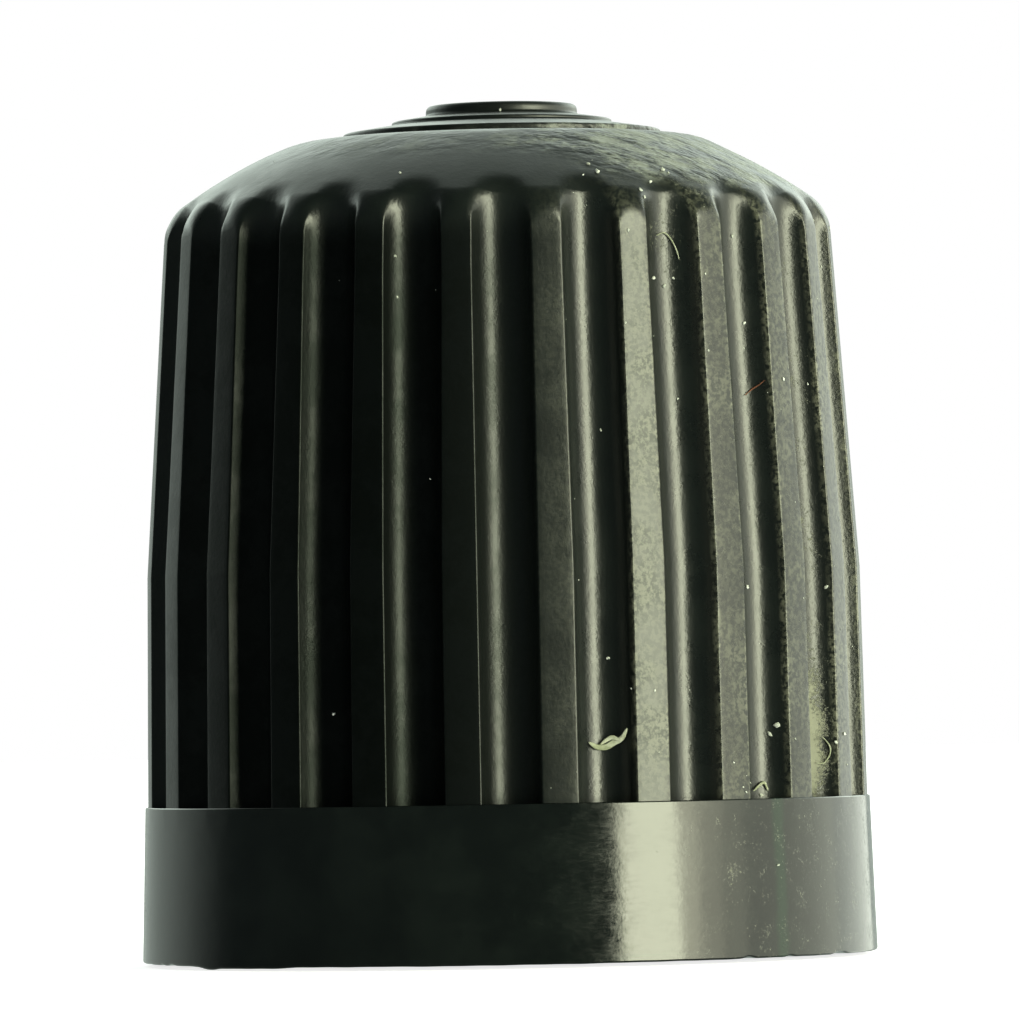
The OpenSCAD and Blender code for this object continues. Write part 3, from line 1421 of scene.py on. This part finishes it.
def scuff_group() -> NodeGroup:
    """Coarse, nearly round patches of scuffs, with a few streaks along X between them.

    Returns:
        Group with the scuffs' mask and their height, both from 0 to 1.
    """
    streak_scale, patch_scale, height_scale, streak_share, pull = 6500, 2600, 3000, 0.25, 0.05
    inputs = {"Vector": None, "Amount": 0.5}
    group, sheet, given, made = new_group("scuffs", inputs, ("Mask", "Height"))
    place = given["Vector"]
    streaks = sheet.noise(sheet.scaled(place, (0.3, 1, 1.4)), streak_scale, 6, 0.75)
    patches = sheet.noise(sheet.scaled(place, (0.85, 1, 1)), patch_scale, 6, 0.75)
    both = sheet.plus(sheet.times(streaks, streak_share), sheet.times(patches, 1 - streak_share))
    above = sheet.plus(both, sheet.times(given["Amount"], pull))
    height = sheet.noise(sheet.scaled(place, (0.6, 1, 1)), height_scale, 3, 0.6)
    sheet.put(sheet.span(above, 0.49, 0.64), made["Mask"])
    sheet.put(sheet.span(height, 0.3, 0.7), made["Height"])
    return group


# Finishes


@dataclass(frozen=True)
class Patch:
    """A soft patch of the skin that dust or wear is laid on.

    Attributes:
        azimuth: Its middle, in degrees from the front towards +X.
        spread: Angle from its middle to its edge, in degrees.
        low: Height of its lower end.
        high: Height of its upper end.
        amount: Strength in its middle.
        soft: Half the height over which an end fades.
    """

    azimuth: float
    spread: float
    low: float
    high: float
    amount: float
    soft: float = 0.5

    def mask(self, sheet: Tree, group: NodeGroup, place: Socket) -> Socket:
        """Adds the patch to a node tree.

        Args:
            sheet: The material's tree.
            group: Node group of a patch.
            place: Object coordinates.

        Returns:
            The patch's amount at each place.
        """
        a = math.radians(self.azimuth)
        made = sheet.group(
            group,
            Vector=place,
            Toward=(math.sin(a), -math.cos(a), 0),
            Edge=math.cos(math.radians(self.spread)),
            Low=self.low * MM,
            High=self.high * MM,
            Soft=self.soft * MM,
        )
        return sheet.times(made.outputs["Mask"], self.amount)


@dataclass
class Coat:
    """A material in the making: what its layers have made of the colour, roughness and height so far.

    Attributes:
        sheet: The material's tree.
        groups: Node groups by name.
        place: Object coordinates.
        grain: Node of the moulded grain.
        color: Colour so far.
        rough: Roughness so far.
        relief: Height from 0 to 1 and full height in metres of each layer.
        cover: Mask of what lies on the bare plastic.
    """

    sheet: Tree
    groups: dict[str, NodeGroup]
    place: Socket
    grain: bpy.types.Node
    color: Socket
    rough: Socket
    relief: list[tuple[Socket, float]]
    cover: Socket | float = 0.0

    def amount(self, patches: tuple[Patch, ...]) -> Socket | float:
        """Adds patches up, or gives 0 without any."""
        if not patches:
            return 0.0
        group = self.groups["patch"]
        return self.sheet.plus(*(patch.mask(self.sheet, group, self.place) for patch in patches))

    def stain(self, mask: Socket, color: Triple) -> None:
        """Mixes a colour in where the mask is."""
        self.color = self.sheet.mix(mask, self.color, (*color, 1))

    def roughen(self, mask: Socket, extra: float) -> None:
        """Adds to the roughness where the mask is."""
        self.rough = self.sheet.plus(self.rough, self.sheet.times(mask, extra))

    def finish(self, shader: bpy.types.Node) -> None:
        """Links colour and roughness to the shader, and the relief through one Bump node per layer."""
        self.sheet.put(self.color, shader.inputs["Base Color"])
        self.sheet.put(self.rough, shader.inputs["Roughness"])
        target = shader.inputs["Normal"]
        for height, distance in reversed(self.relief):
            bump = self.sheet.node("ShaderNodeBump", None, Height=height, Distance=distance)
            self.sheet.put(bump.outputs["Normal"], target)
            target = bump.inputs["Normal"]


@dataclass(frozen=True)
class Plastic:
    """Finish of a stretch of the cap's plastic.

    Attributes:
        name: Name of the material.
        roughness: Roughness of the bare plastic.
        grain: Height of the moulded grain in metres.
        uneven: Height of the slow unevenness in metres.
        mottle_roughness: What the mottled patches add to the roughness.
        rib_grain: Share of the grain's height that the ribs keep. The flutes have all of it.
        crown_roughness: What the dome's roughness is above the rest.
        crown_z: Heights between which it sets in.
        edge_wear_and_highlight: Share of paler colour on the ribs' edges, partly wear and partly painted
            highlight where the edges catch the lamps' light.
        rib_wear_and_highlight: Paler colour of the open faces, partly wear and partly painted highlight, as a
            share of that on the edges.
        worn_and_lit: Patches with paler edges and faces, partly wear and partly painted highlight.
        scuffed: Patches with scuffs.
        scuff_roughness: What scuffs add to the roughness.
        scuff_height: Height of the scuffs' relief in metres.
        dusty: Patches with dust in the flutes.
        dusted: Patches with dust on open faces.
        dust_roughness: What dust adds to the roughness.
        dust_height: Thickness of the dust in metres.
        painted_shade: Patches of painted shade, where the gloss is taken away so that reflections come out
            darker.
        shade_roughness: What the painted shade adds to the roughness.
        shade_share: Share of the plastic's own reflection that the painted shade takes away.
        turned: What the fine lines round the band add to its roughness.
        witness: Azimuth of the mould's parting line in degrees from the front, or None.
        witness_color: Colour of that line.
        color: Colour of the bare plastic.
        mottle_color: Colour of its mottled patches.
        wear_and_highlight_color: Colour of the paler edges and faces, partly wear and partly painted
            highlight.
        scuff_color: Colour of scuffs.
        dust_color: Colour of the dust.
        ior: Index of refraction.
    """

    name: str
    roughness: float
    grain: float
    uneven: float
    mottle_roughness: float = 0.05
    rib_grain: float = 1.0
    crown_roughness: float = 0.0
    crown_z: tuple[float, float] = (9.9, 10.5)
    edge_wear_and_highlight: float = 0.0
    rib_wear_and_highlight: float = 0.5
    worn_and_lit: tuple[Patch, ...] = ()
    scuffed: tuple[Patch, ...] = ()
    scuff_roughness: float = 0.16
    scuff_height: float = 2.4e-5
    dusty: tuple[Patch, ...] = ()
    dusted: tuple[Patch, ...] = ()
    dust_roughness: float = 0.3
    dust_height: float = 3e-6
    painted_shade: tuple[Patch, ...] = ()
    shade_roughness: float = 0.11
    shade_share: float = 0.83
    turned: float = 0.0
    witness: float | None = None
    witness_color: Triple = (0.002, 0.011, 0.0045)
    color: Triple = (0.0022, 0.0032, 0.0028)
    mottle_color: Triple = (0.004, 0.0058, 0.0048)
    wear_and_highlight_color: Triple = (0.115, 0.118, 0.083)
    scuff_color: Triple = (0.215, 0.235, 0.205)
    dust_color: Triple = (0.15, 0.155, 0.105)
    ior: float = 1.5

    def build(self, groups: dict[str, NodeGroup]) -> bpy.types.Material:
        """Makes the material: plastic, then wear with painted highlight, then dust, then painted shade on the
        gloss, each a layer on the last.

        Args:
            groups: Node groups by name.

        Returns:
            The material.
        """
        material, sheet, shader = new_material(self.name)
        shader.inputs["IOR"].default_value = self.ior
        coat = self.bare_plastic(sheet, groups)
        if self.witness is not None:
            self.add_witness(coat)
        # Paler rib edges and faces: partly wear, partly painted highlight.
        if self.edge_wear_and_highlight:
            self.add_wear_and_highlight(coat)
        if self.scuffed:
            self.add_scuffs(coat)
        if self.dusty or self.dusted:
            self.add_dust(coat)
        # Painted shade: Metallic takes the gloss away in patches, so reflections there come out darker.
        if self.painted_shade:
            sheet.put(self.add_painted_shade(coat), shader.inputs["Metallic"])
        coat.finish(shader)
        return material

    def bare_plastic(self, sheet: Tree, groups: dict[str, NodeGroup]) -> Coat:
        """Starts with mottled plastic, its grain and unevenness, a duller dome and the band's turned lines.

        Args:
            sheet: The material's tree.
            groups: Node groups by name.

        Returns:
            The coat that the other layers go on.
        """
        place = sheet.object_place()
        grain = sheet.group(groups["grain"], Vector=place)
        mottle, height = grain.outputs["Mottle"], grain.outputs["Grain"]
        color = sheet.mix(mottle, (*self.color, 1), (*self.mottle_color, 1))
        rough = sheet.span(mottle, 0.0, 1.0, self.roughness, self.roughness + self.mottle_roughness)
        if self.rib_grain < 1:
            height = sheet.times(height, sheet.span(sheet.attribute("flute"), 0.0, 0.3, self.rib_grain, 1.0))
        if self.crown_roughness:
            low, high = (z * MM for z in self.crown_z)
            rough = sheet.plus(rough, sheet.span(sheet.height(place), low, high, 0.0, self.crown_roughness))
        if self.turned:
            lines = sheet.noise(sheet.scaled(place, (1, 1, 4)), 6000, 4, 0.7)
            rough = sheet.plus(rough, sheet.span(lines, 0.42, 0.66, 0.0, self.turned))
        relief = [(grain.outputs["Uneven"], self.uneven), (height, self.grain)]
        return Coat(sheet, groups, place, grain, color, rough, relief)

    def add_witness(self, coat: Coat) -> None:
        """Adds the two greenish lines, one on each side of the band, where the mould's halves part.

        A place's distance from the line is its distance from the plane through the axis and the line.

        Args:
            coat: The material so far.
        """
        sheet, a = coat.sheet, math.radians(self.witness)
        across = sheet.vector("DOT_PRODUCT", coat.place, (math.cos(a), math.sin(a), 0)).outputs["Value"]
        waver = sheet.times(sheet.math("SUBTRACT", sheet.noise(coat.place, 3500, 4), 0.5), 0.12 * MM)
        away = sheet.math("ABSOLUTE", sheet.plus(across, waver))
        mask = sheet.span(away, 0.03 * MM, 0.16 * MM, 1.0, 0.0)
        coat.roughen(mask, 0.1)
        coat.stain(mask, self.witness_color)

    def add_wear_and_highlight(self, coat: Coat) -> None:
        """Adds paler edges, partly wear and partly painted highlight, and less of it on the open faces,
        broken up by grain and mottle.

        Args:
            coat: The material so far.
        """
        sheet = coat.sheet
        open_face = sheet.span(sheet.attribute("flute"), 0.0, 0.2, self.rib_wear_and_highlight, 0.0)
        wear_and_highlight = sheet.times(
            sheet.math("MAXIMUM", sheet.attribute("edge"), open_face),
            sheet.span(coat.grain.outputs["Grain"], 0.4, 0.6),
            sheet.span(coat.grain.outputs["Mottle"], 0.1, 0.9, 0.35, 1.0),
            coat.amount(self.worn_and_lit),
        )
        coat.stain(sheet.times(wear_and_highlight, self.edge_wear_and_highlight), self.wear_and_highlight_color)
        coat.cover = wear_and_highlight

    def add_scuffs(self, coat: Coat) -> None:
        """Adds pale scuffs with a relief of their own.

        Args:
            coat: The material so far.
        """
        sheet = coat.sheet
        amount = coat.amount(self.scuffed)
        scuffs = sheet.group(coat.groups["scuffs"], Vector=coat.place, Amount=amount).outputs
        share = sheet.span(amount, 0.0, 0.7)
        mask = sheet.times(scuffs["Mask"], share)
        coat.stain(mask, self.scuff_color)
        coat.roughen(mask, self.scuff_roughness)
        coat.relief.append((sheet.times(scuffs["Height"], share), self.scuff_height))

    def add_dust(self, coat: Coat) -> None:
        """Adds dust in the flutes, and thinner dust on the open faces.

        Args:
            coat: The material so far.
        """
        sheet, flute = coat.sheet, coat.sheet.attribute("flute")
        in_flutes = sheet.times(flute, coat.amount(self.dusty))
        on_faces = sheet.times(coat.amount(self.dusted), sheet.span(flute, 0.0, 0.3, 1.0, 0.3))
        amount = sheet.plus(in_flutes, on_faces)
        dust = sheet.group(coat.groups["dust"], Vector=coat.place, Amount=amount).outputs["Mask"]
        dust = sheet.times(dust, sheet.span(amount, 0.0, 0.25))
        coat.stain(dust, self.dust_color)
        coat.roughen(dust, self.dust_roughness)
        coat.relief.append((dust, self.dust_height))
        coat.cover = sheet.math("MAXIMUM", coat.cover, dust)

    def add_painted_shade(self, coat: Coat) -> Socket:
        """Adds painted shade on the gloss. Metallic on a near-black colour takes the plastic's own reflection
        away, so reflections come out darker.

        Args:
            coat: The material so far.

        Returns:
            The share for the shader's Metallic, which leaves out what dust, wear and painted highlight cover.
        """
        sheet = coat.sheet
        shade_mask = sheet.times(
            coat.amount(self.painted_shade), sheet.span(coat.grain.outputs["Mottle"], 0.0, 1.0, 0.85, 1.1)
        )
        coat.roughen(shade_mask, self.shade_roughness)
        bare = sheet.times(shade_mask, sheet.math("SUBTRACT", 1.0, coat.cover))
        return sheet.span(bare, 0.0, 1.0, 0.0, self.shade_share)


@dataclass(frozen=True)
class Litter:
    """Finish of dust grains and fibres.

    Attributes:
        name: Name of the material.
        color: Colour of the darker places.
        pale: Colour of the paler places.
        roughness: Roughness.
        mottle_scale: Scale of the noise that mixes the two colours.
        grain_scale: Scale of the surface's grain.
        grain: Height of that grain in metres.
    """

    name: str
    color: Triple
    pale: Triple
    roughness: float = 0.7
    mottle_scale: float = 4000
    grain_scale: float = 40000
    grain: float = 3e-6

    def build(self) -> bpy.types.Material:
        """Makes the material, mottled from grain to grain.

        Returns:
            The material.
        """
        material, sheet, shader = new_material(self.name)
        place = sheet.object_place()
        spread = sheet.span(sheet.noise(place, self.mottle_scale, 3), 0.35, 0.65)
        sheet.put(sheet.mix(spread, (*self.color, 1), (*self.pale, 1)), shader.inputs["Base Color"])
        shader.inputs["Roughness"].default_value = self.roughness
        height = sheet.noise(place, self.grain_scale, 2)
        bump = sheet.node("ShaderNodeBump", None, Height=height, Distance=self.grain)
        sheet.put(bump.outputs["Normal"], shader.inputs["Normal"])
        return material


# Studio


@dataclass(frozen=True)
class PhotoCamera:
    """Camera at the photograph's viewpoint.

    Attributes:
        distance: Distance from the cap's axis.
        height: Height above the rim's plane. The camera's level ray to the axis is the horizon.
        azimuth: Turn of the camera round the axis from the front, positive towards +X, in degrees.
        roll: Turn of the picture against the upright, positive anticlockwise, in degrees.
        focal_px: Focal length in pixels of the picture.
        picture_px: Width and height of the picture.
        axis_column: Column at which the axis crosses the horizon.
        horizon_row: Row of the horizon there.
    """

    distance: float = 126.0
    height: float = 3.18
    azimuth: float = -0.7
    roll: float = 1.07
    focal_px: float = 9286.0
    picture_px: float = 1020.0
    axis_column: float = 506.1
    horizon_row: float = 721.2

    def matrix(self) -> Matrix:
        """Place and turn of the camera.

        Returns:
            Matrix from camera to scene, in metres.
        """
        turn = math.radians(self.azimuth)
        place = Vector((math.sin(turn), -math.cos(turn), 0)) * self.distance * MM
        ahead = -place.normalized()
        place.z = self.height * MM
        side = ahead.cross(Vector((0, 0, 1)))
        up = Vector((0, 0, 1))
        roll = math.radians(self.roll)
        right = side * math.cos(roll) - up * math.sin(roll)
        top = side * math.sin(roll) + up * math.cos(roll)
        level = Matrix((right, top, -ahead)).transposed()
        half = self.picture_px / 2
        ray = Vector((self.axis_column - half, half - self.horizon_row, -self.focal_px)).normalized()
        aim = Vector((0, 0, -1)).rotation_difference(ray).to_matrix()
        return Matrix.Translation(place) @ (level @ aim.transposed()).to_4x4()

    def ray(self, column: float, row: float) -> tuple[Vector, Vector]:
        """Line of sight through a pixel of the photograph.

        Args:
            column: Column of the pixel.
            row: Row of the pixel.

        Returns:
            Its start and direction, in metres.
        """
        half = self.picture_px / 2
        place = self.matrix()
        way = Vector((column - half, half - row, -self.focal_px)).normalized()
        return place.translation, place.to_3x3() @ way

    def build(self) -> bpy.types.Object:
        """Makes the camera and sets it as the scene's.

        Returns:
            The camera's object.
        """
        data = bpy.data.cameras.new("photo_camera")
        data.sensor_fit = "HORIZONTAL"
        data.sensor_width = 36.0
        data.lens = data.sensor_width * self.focal_px / self.picture_px
        data.clip_start = 0.01
        data.clip_end = 10.0
        camera = bpy.data.objects.new("photo_camera", data)
        camera.matrix_world = self.matrix()
        bpy.context.scene.collection.objects.link(camera)
        bpy.context.scene.camera = camera
        return camera


@dataclass(frozen=True)
class SoftBox:
    """A flat soft lamp that faces the cap.

    Attributes:
        name: Name of the lamp.
        azimuth: Where it stands round the cap, in degrees from the front towards +X.
        elevation: Height angle in degrees.
        width: Width as an angle seen from the cap, in degrees.
        rise: Height as an angle, in degrees.
        brightness: Radiance, where 1 is a white surface in full light.
        tint: Colour of its light.
        distance: Distance from the cap in metres.
        centre_z: Height of the point that it faces.
    """

    name: str
    azimuth: float
    elevation: float
    width: float
    rise: float
    brightness: float
    tint: Triple
    distance: float = 0.4
    centre_z: float = 5.0

    def build(self) -> bpy.types.Object:
        """Makes the lamp. Its power is brightness times pi times its area.

        Returns:
            The lamp's object.
        """
        data = bpy.data.lights.new(self.name, "AREA")
        data.shape = "RECTANGLE"
        data.size = 2 * self.distance * math.tan(math.radians(self.width / 2))
        data.size_y = 2 * self.distance * math.tan(math.radians(self.rise / 2))
        data.energy = self.brightness * math.pi * data.size * data.size_y
        data.color = self.tint
        lamp = bpy.data.objects.new(self.name, data)
        a, e = math.radians(self.azimuth), math.radians(self.elevation)
        away = Vector((math.sin(a) * math.cos(e), -math.cos(a) * math.cos(e), math.sin(e)))
        lamp.location = away * self.distance + Vector((0, 0, self.centre_z * MM))
        lamp.rotation_mode = "QUATERNION"
        lamp.rotation_quaternion = away.to_track_quat("Z", "Y")
        bpy.context.scene.collection.objects.link(lamp)
        return lamp


@dataclass
class Studio:
    """Pale floor, white background, soft boxes and the camera.

    Attributes:
        floor_z: Height of the floor. It lies below the rim's plane because a burr hangs from the rim.
        floor_size: Width of the floor in metres.
        floor_color: Colour of the floor.
        clear_from: Distance from the axis at which the floor starts to fade into the white background.
        clear_to: Distance at which it has the background's white.
        floor_glow: Glow of the floor next to the cap, so that its shadow stays soft.
        front: Colour of the room before the cap, seen in its gloss.
        behind: How far back a direction points where the backdrop sets in and where it is full.
        backdrop: Brightness of the backdrop behind it by the sine of the height angle.
        backdrop_peak: Brightness that the backdrop never passes.
        backdrop_tint: Colour of the backdrop.
        lamps: Soft boxes.
    """

    floor_z: float = -0.05
    floor_size: float = 1.6
    floor_color: Triple = (0.9, 0.9, 0.9)
    clear_from: float = 0.009
    clear_to: float = 0.03
    floor_glow: float = 0.78
    front: Triple = (0.062, 0.078, 0.074)
    behind: tuple[float, float] = (0.1, 0.72)
    backdrop: tuple[tuple[float, float], ...] = (
        (0.0, 0.65),
        (0.13, 0.7),
        (0.25, 2.7),
        (0.4, 2.8),
        (0.55, 1.7),
        (0.68, 1.2),
        (0.8, 0.95),
        (0.92, 1.05),
    )
    backdrop_peak: float = 3.0
    backdrop_tint: Triple = (0.87, 1.0, 0.9)
    lamps: tuple[SoftBox, ...] = (
        SoftBox("key_box", 44, 3, 20, 54, 8.5, (0.94, 1.0, 0.72)),
        SoftBox("key_wing", 47.5, 3, 27, 54, 2.9, (0.98, 1.0, 0.7)),
        SoftBox("fill_box", 51.5, 3, 35, 54, 1.3, (1.0, 0.97, 0.7)),
        SoftBox("fill_wing", 56, 3, 44, 54, 1.0, (1.0, 1.0, 0.72)),
        SoftBox("side_box", 79, 3, 90, 54, 2.1, (0.97, 1.0, 0.82)),
        SoftBox("rear_box", 141, 3, 34, 54, 1.6, (0.96, 1.0, 0.86)),
    )

    def build(self) -> None:
        """Makes the floor, the world and the lamps."""
        self.floor()
        self.world()
        for lamp in self.lamps:
            lamp.build()

    def floor(self) -> None:
        """Makes the pale floor. It keeps the cap's shadow and turns to the background's white further out."""
        half = self.floor_size / 2 / MM
        z = self.floor_z
        points = np.array([[-half, -half, z], [half, -half, z], [half, half, z], [-half, half, z]], float)
        floor = make_piece("floor", points, np.array([[0, 1, 2, 3]]))
        material, sheet, shader = new_material("pale_floor")
        shader.inputs["Base Color"].default_value = (*self.floor_color, 1)
        shader.inputs["Roughness"].default_value = 1.0
        shader.inputs["Specular IOR Level"].default_value = 0.0
        away = sheet.vector("LENGTH", sheet.scaled(sheet.object_place(), (1, 1, 0))).outputs["Value"]
        glow = sheet.span(away, self.clear_from, self.clear_to, self.floor_glow, 1.0)
        shader.inputs["Emission Color"].default_value = (1, 1, 1, 1)
        sheet.put(glow, shader.inputs["Emission Strength"])
        floor.data.materials.append(material)
        floor.visible_glossy = False
        floor.visible_shadow = False

    def world(self) -> None:
        """Dark before the cap and pale behind it, with plain white wherever the camera looks."""
        world = bpy.data.worlds.new("studio")
        bpy.context.scene.world = world
        world.use_nodes = True
        sheet = Tree(world.node_tree)
        background = world.node_tree.nodes["Background"]
        looked = sheet.node("ShaderNodeTexCoord").outputs["Generated"]
        way = sheet.node("ShaderNodeSeparateXYZ", None, Vector=looked)
        behind = sheet.span(way.outputs["Y"], *self.behind)
        ramp = sheet.node("ShaderNodeValToRGB", None, Fac=way.outputs["Z"])
        stops = ramp.color_ramp.elements
        for k, (height, brightness) in enumerate(self.backdrop):
            stop = stops[k] if k < 2 else stops.new(height)
            stop.position = height
            stop.color = (*[brightness / self.backdrop_peak] * 3, 1)
        bright = tuple(self.backdrop_peak * c for c in self.backdrop_tint)
        backdrop = sheet.scaled(ramp.outputs["Color"], bright)
        seen = sheet.mix(behind, (*self.front, 1), backdrop)
        camera_ray = sheet.node("ShaderNodeLightPath").outputs["Is Camera Ray"]
        sheet.put(sheet.mix(camera_ray, seen, (1, 1, 1, 1)), background.inputs["Color"])
        background.inputs["Strength"].default_value = 1.0


# Litter that the photograph shows

PALE_STRANDS = (
    Strand(
        "lint_lower",
        ((588.5, 742), (597, 747), (606, 747), (614, 742.5), (622, 738), (627.5, 728)),
        0.085,
        0.03,
        0.05,
    ),
    Strand(
        "lint_upper",
        ((600, 745), (606, 740.5), (612, 737.5), (618, 739.5), (622, 738.5)),
        0.06,
        0.03,
        0.06,
    ),
    Strand(
        "curl_at_foot",
        ((752, 791.5), (757, 786.5), (762.5, 782.5), (765, 786), (767, 791)),
        0.04,
        0.03,
        0.03,
    ),
    Strand(
        "looped_fibre",
        ((821, 736), (826, 741), (829.7, 747), (829.7, 753.5), (827, 759), (823, 763), (815, 763)),
        0.022,
        0.02,
        0.02,
    ),
    Strand(
        "curved_fibre",
        ((655, 236), (663.5, 233), (670.7, 240), (676, 251), (678.7, 260)),
        0.02,
        0.02,
        0.03,
    ),
)
RUSTY_STRANDS = (
    Strand("rusty_fibre", ((744, 396), (751, 390), (758, 385.5), (765, 380)), 0.018, 0.018, 0.03),
)


def dress_cap(skin: bpy.types.Object, thread: bpy.types.Object) -> None:
    """Gives the cap's skin and its thread their finishes.

    Args:
        skin: The cap's skin.
        thread: The inside thread.
    """
    groups = {"grain": grain_group(), "patch": patch_group(), "dust": dust_group(), "scuffs": scuff_group()}
    satin = Plastic(
        "satin_plastic",
        roughness=0.26,
        grain=5e-6,
        uneven=9e-6,
        rib_grain=0.55,
        crown_roughness=0.09,
        # Paler rib edges and faces in a patch on the lamps' side: partly wear, partly painted highlight.
        edge_wear_and_highlight=0.9,
        worn_and_lit=(Patch(55, 55, 2.0, 10.2, 1.0),),
        scuffed=(
            Patch(68, 62, 10.35, 11.13, 1.3, 0.2),
            Patch(25, 30, 10.7, 11.13, 0.4, 0.15),
            Patch(-40, 70, 10.7, 11.13, 0.3, 0.15),
        ),
        # Painted shade: the gloss is taken away on the grip's left side and on two narrow strips, so
        # reflections there come out darker.
        painted_shade=(
            Patch(-35, 55, 1.0, 9.8, 0.85, 0.35),
            Patch(22.5, 9, 1.0, 9.8, 0.4, 0.35),
            Patch(70, 9, 1.0, 9.8, 0.45, 0.35),
        ),
        dusty=(
            Patch(60.5, 9, 2.0, 3.6, 1.0, 0.8),
            Patch(60.5, 8, 2.0, 10.2, 0.35),
            Patch(31, 7, 9.0, 10.2, 0.36, 0.5),
            Patch(46, 7, 2.0, 10.2, 0.1),
        ),
        dusted=(Patch(58, 52, 2.0, 11.3, 0.2), Patch(40, 28, 10.1, 10.7, 0.2, 0.2)),
        color=(0.0036, 0.0052, 0.0046),
        mottle_color=(0.005, 0.0072, 0.006),
    )
    finishes = {
        Zone.SATIN: satin,
        Zone.BAND: Plastic(
            "band_plastic",
            roughness=0.09,
            grain=1.2e-6,
            uneven=3e-6,
            dusted=(Patch(60, 50, -1.0, 3.0, 0.28),),
            turned=0.06,
            witness=45.8,
        ),
        Zone.INSIDE: Plastic("inside_plastic", roughness=0.3, grain=1e-6, uneven=4e-6),
    }
    for zone in Zone:
        skin.data.materials.append(finishes[zone].build(groups))
    thread.data.materials.append(skin.data.materials[Zone.INSIDE.value])


def add_litter(skin: bpy.types.Object, camera: PhotoCamera) -> None:
    """Lays dust grains, lint and fibres on the skin.

    Args:
        skin: The cap's skin.
        camera: Camera whose pixels name their places.
    """
    finder = SkinFinder(skin, camera)
    grain = Litter("dust_grain", (0.3, 0.32, 0.27), (0.62, 0.65, 0.58)).build()
    pale = Litter("pale_lint", (0.2, 0.22, 0.13), (0.38, 0.4, 0.3)).build()
    rusty = Litter("rusty_lint", (0.1, 0.03, 0.01), (0.2, 0.07, 0.03)).build()
    DustGrains(finder).build().data.materials.append(grain)
    for strand in PALE_STRANDS:
        strand.build(finder).data.materials.append(pale)
    for strand in RUSTY_STRANDS:
        strand.build(finder).data.materials.append(rusty)


def main() -> None:
    """Builds the cap, its thread, its litter and the studio."""
    logging.basicConfig(level=logging.INFO, format="%(name)s: %(message)s")
    bpy.context.scene.view_settings.view_transform = "Standard"
    low, high = cad_box
    camera = PhotoCamera()
    camera.build()
    cap = MouldedCap(rim_r=(high.x - low.x) / 2 / MM, height=high.z / MM)
    skin = cap.build()
    thread = InsideThread(root_r=cap.thread_root_r, end_z=cap.thread_end_z).build()
    dress_cap(skin, thread)
    add_litter(skin, camera)
    Studio().build()


if __name__ == "__main__":
    main()
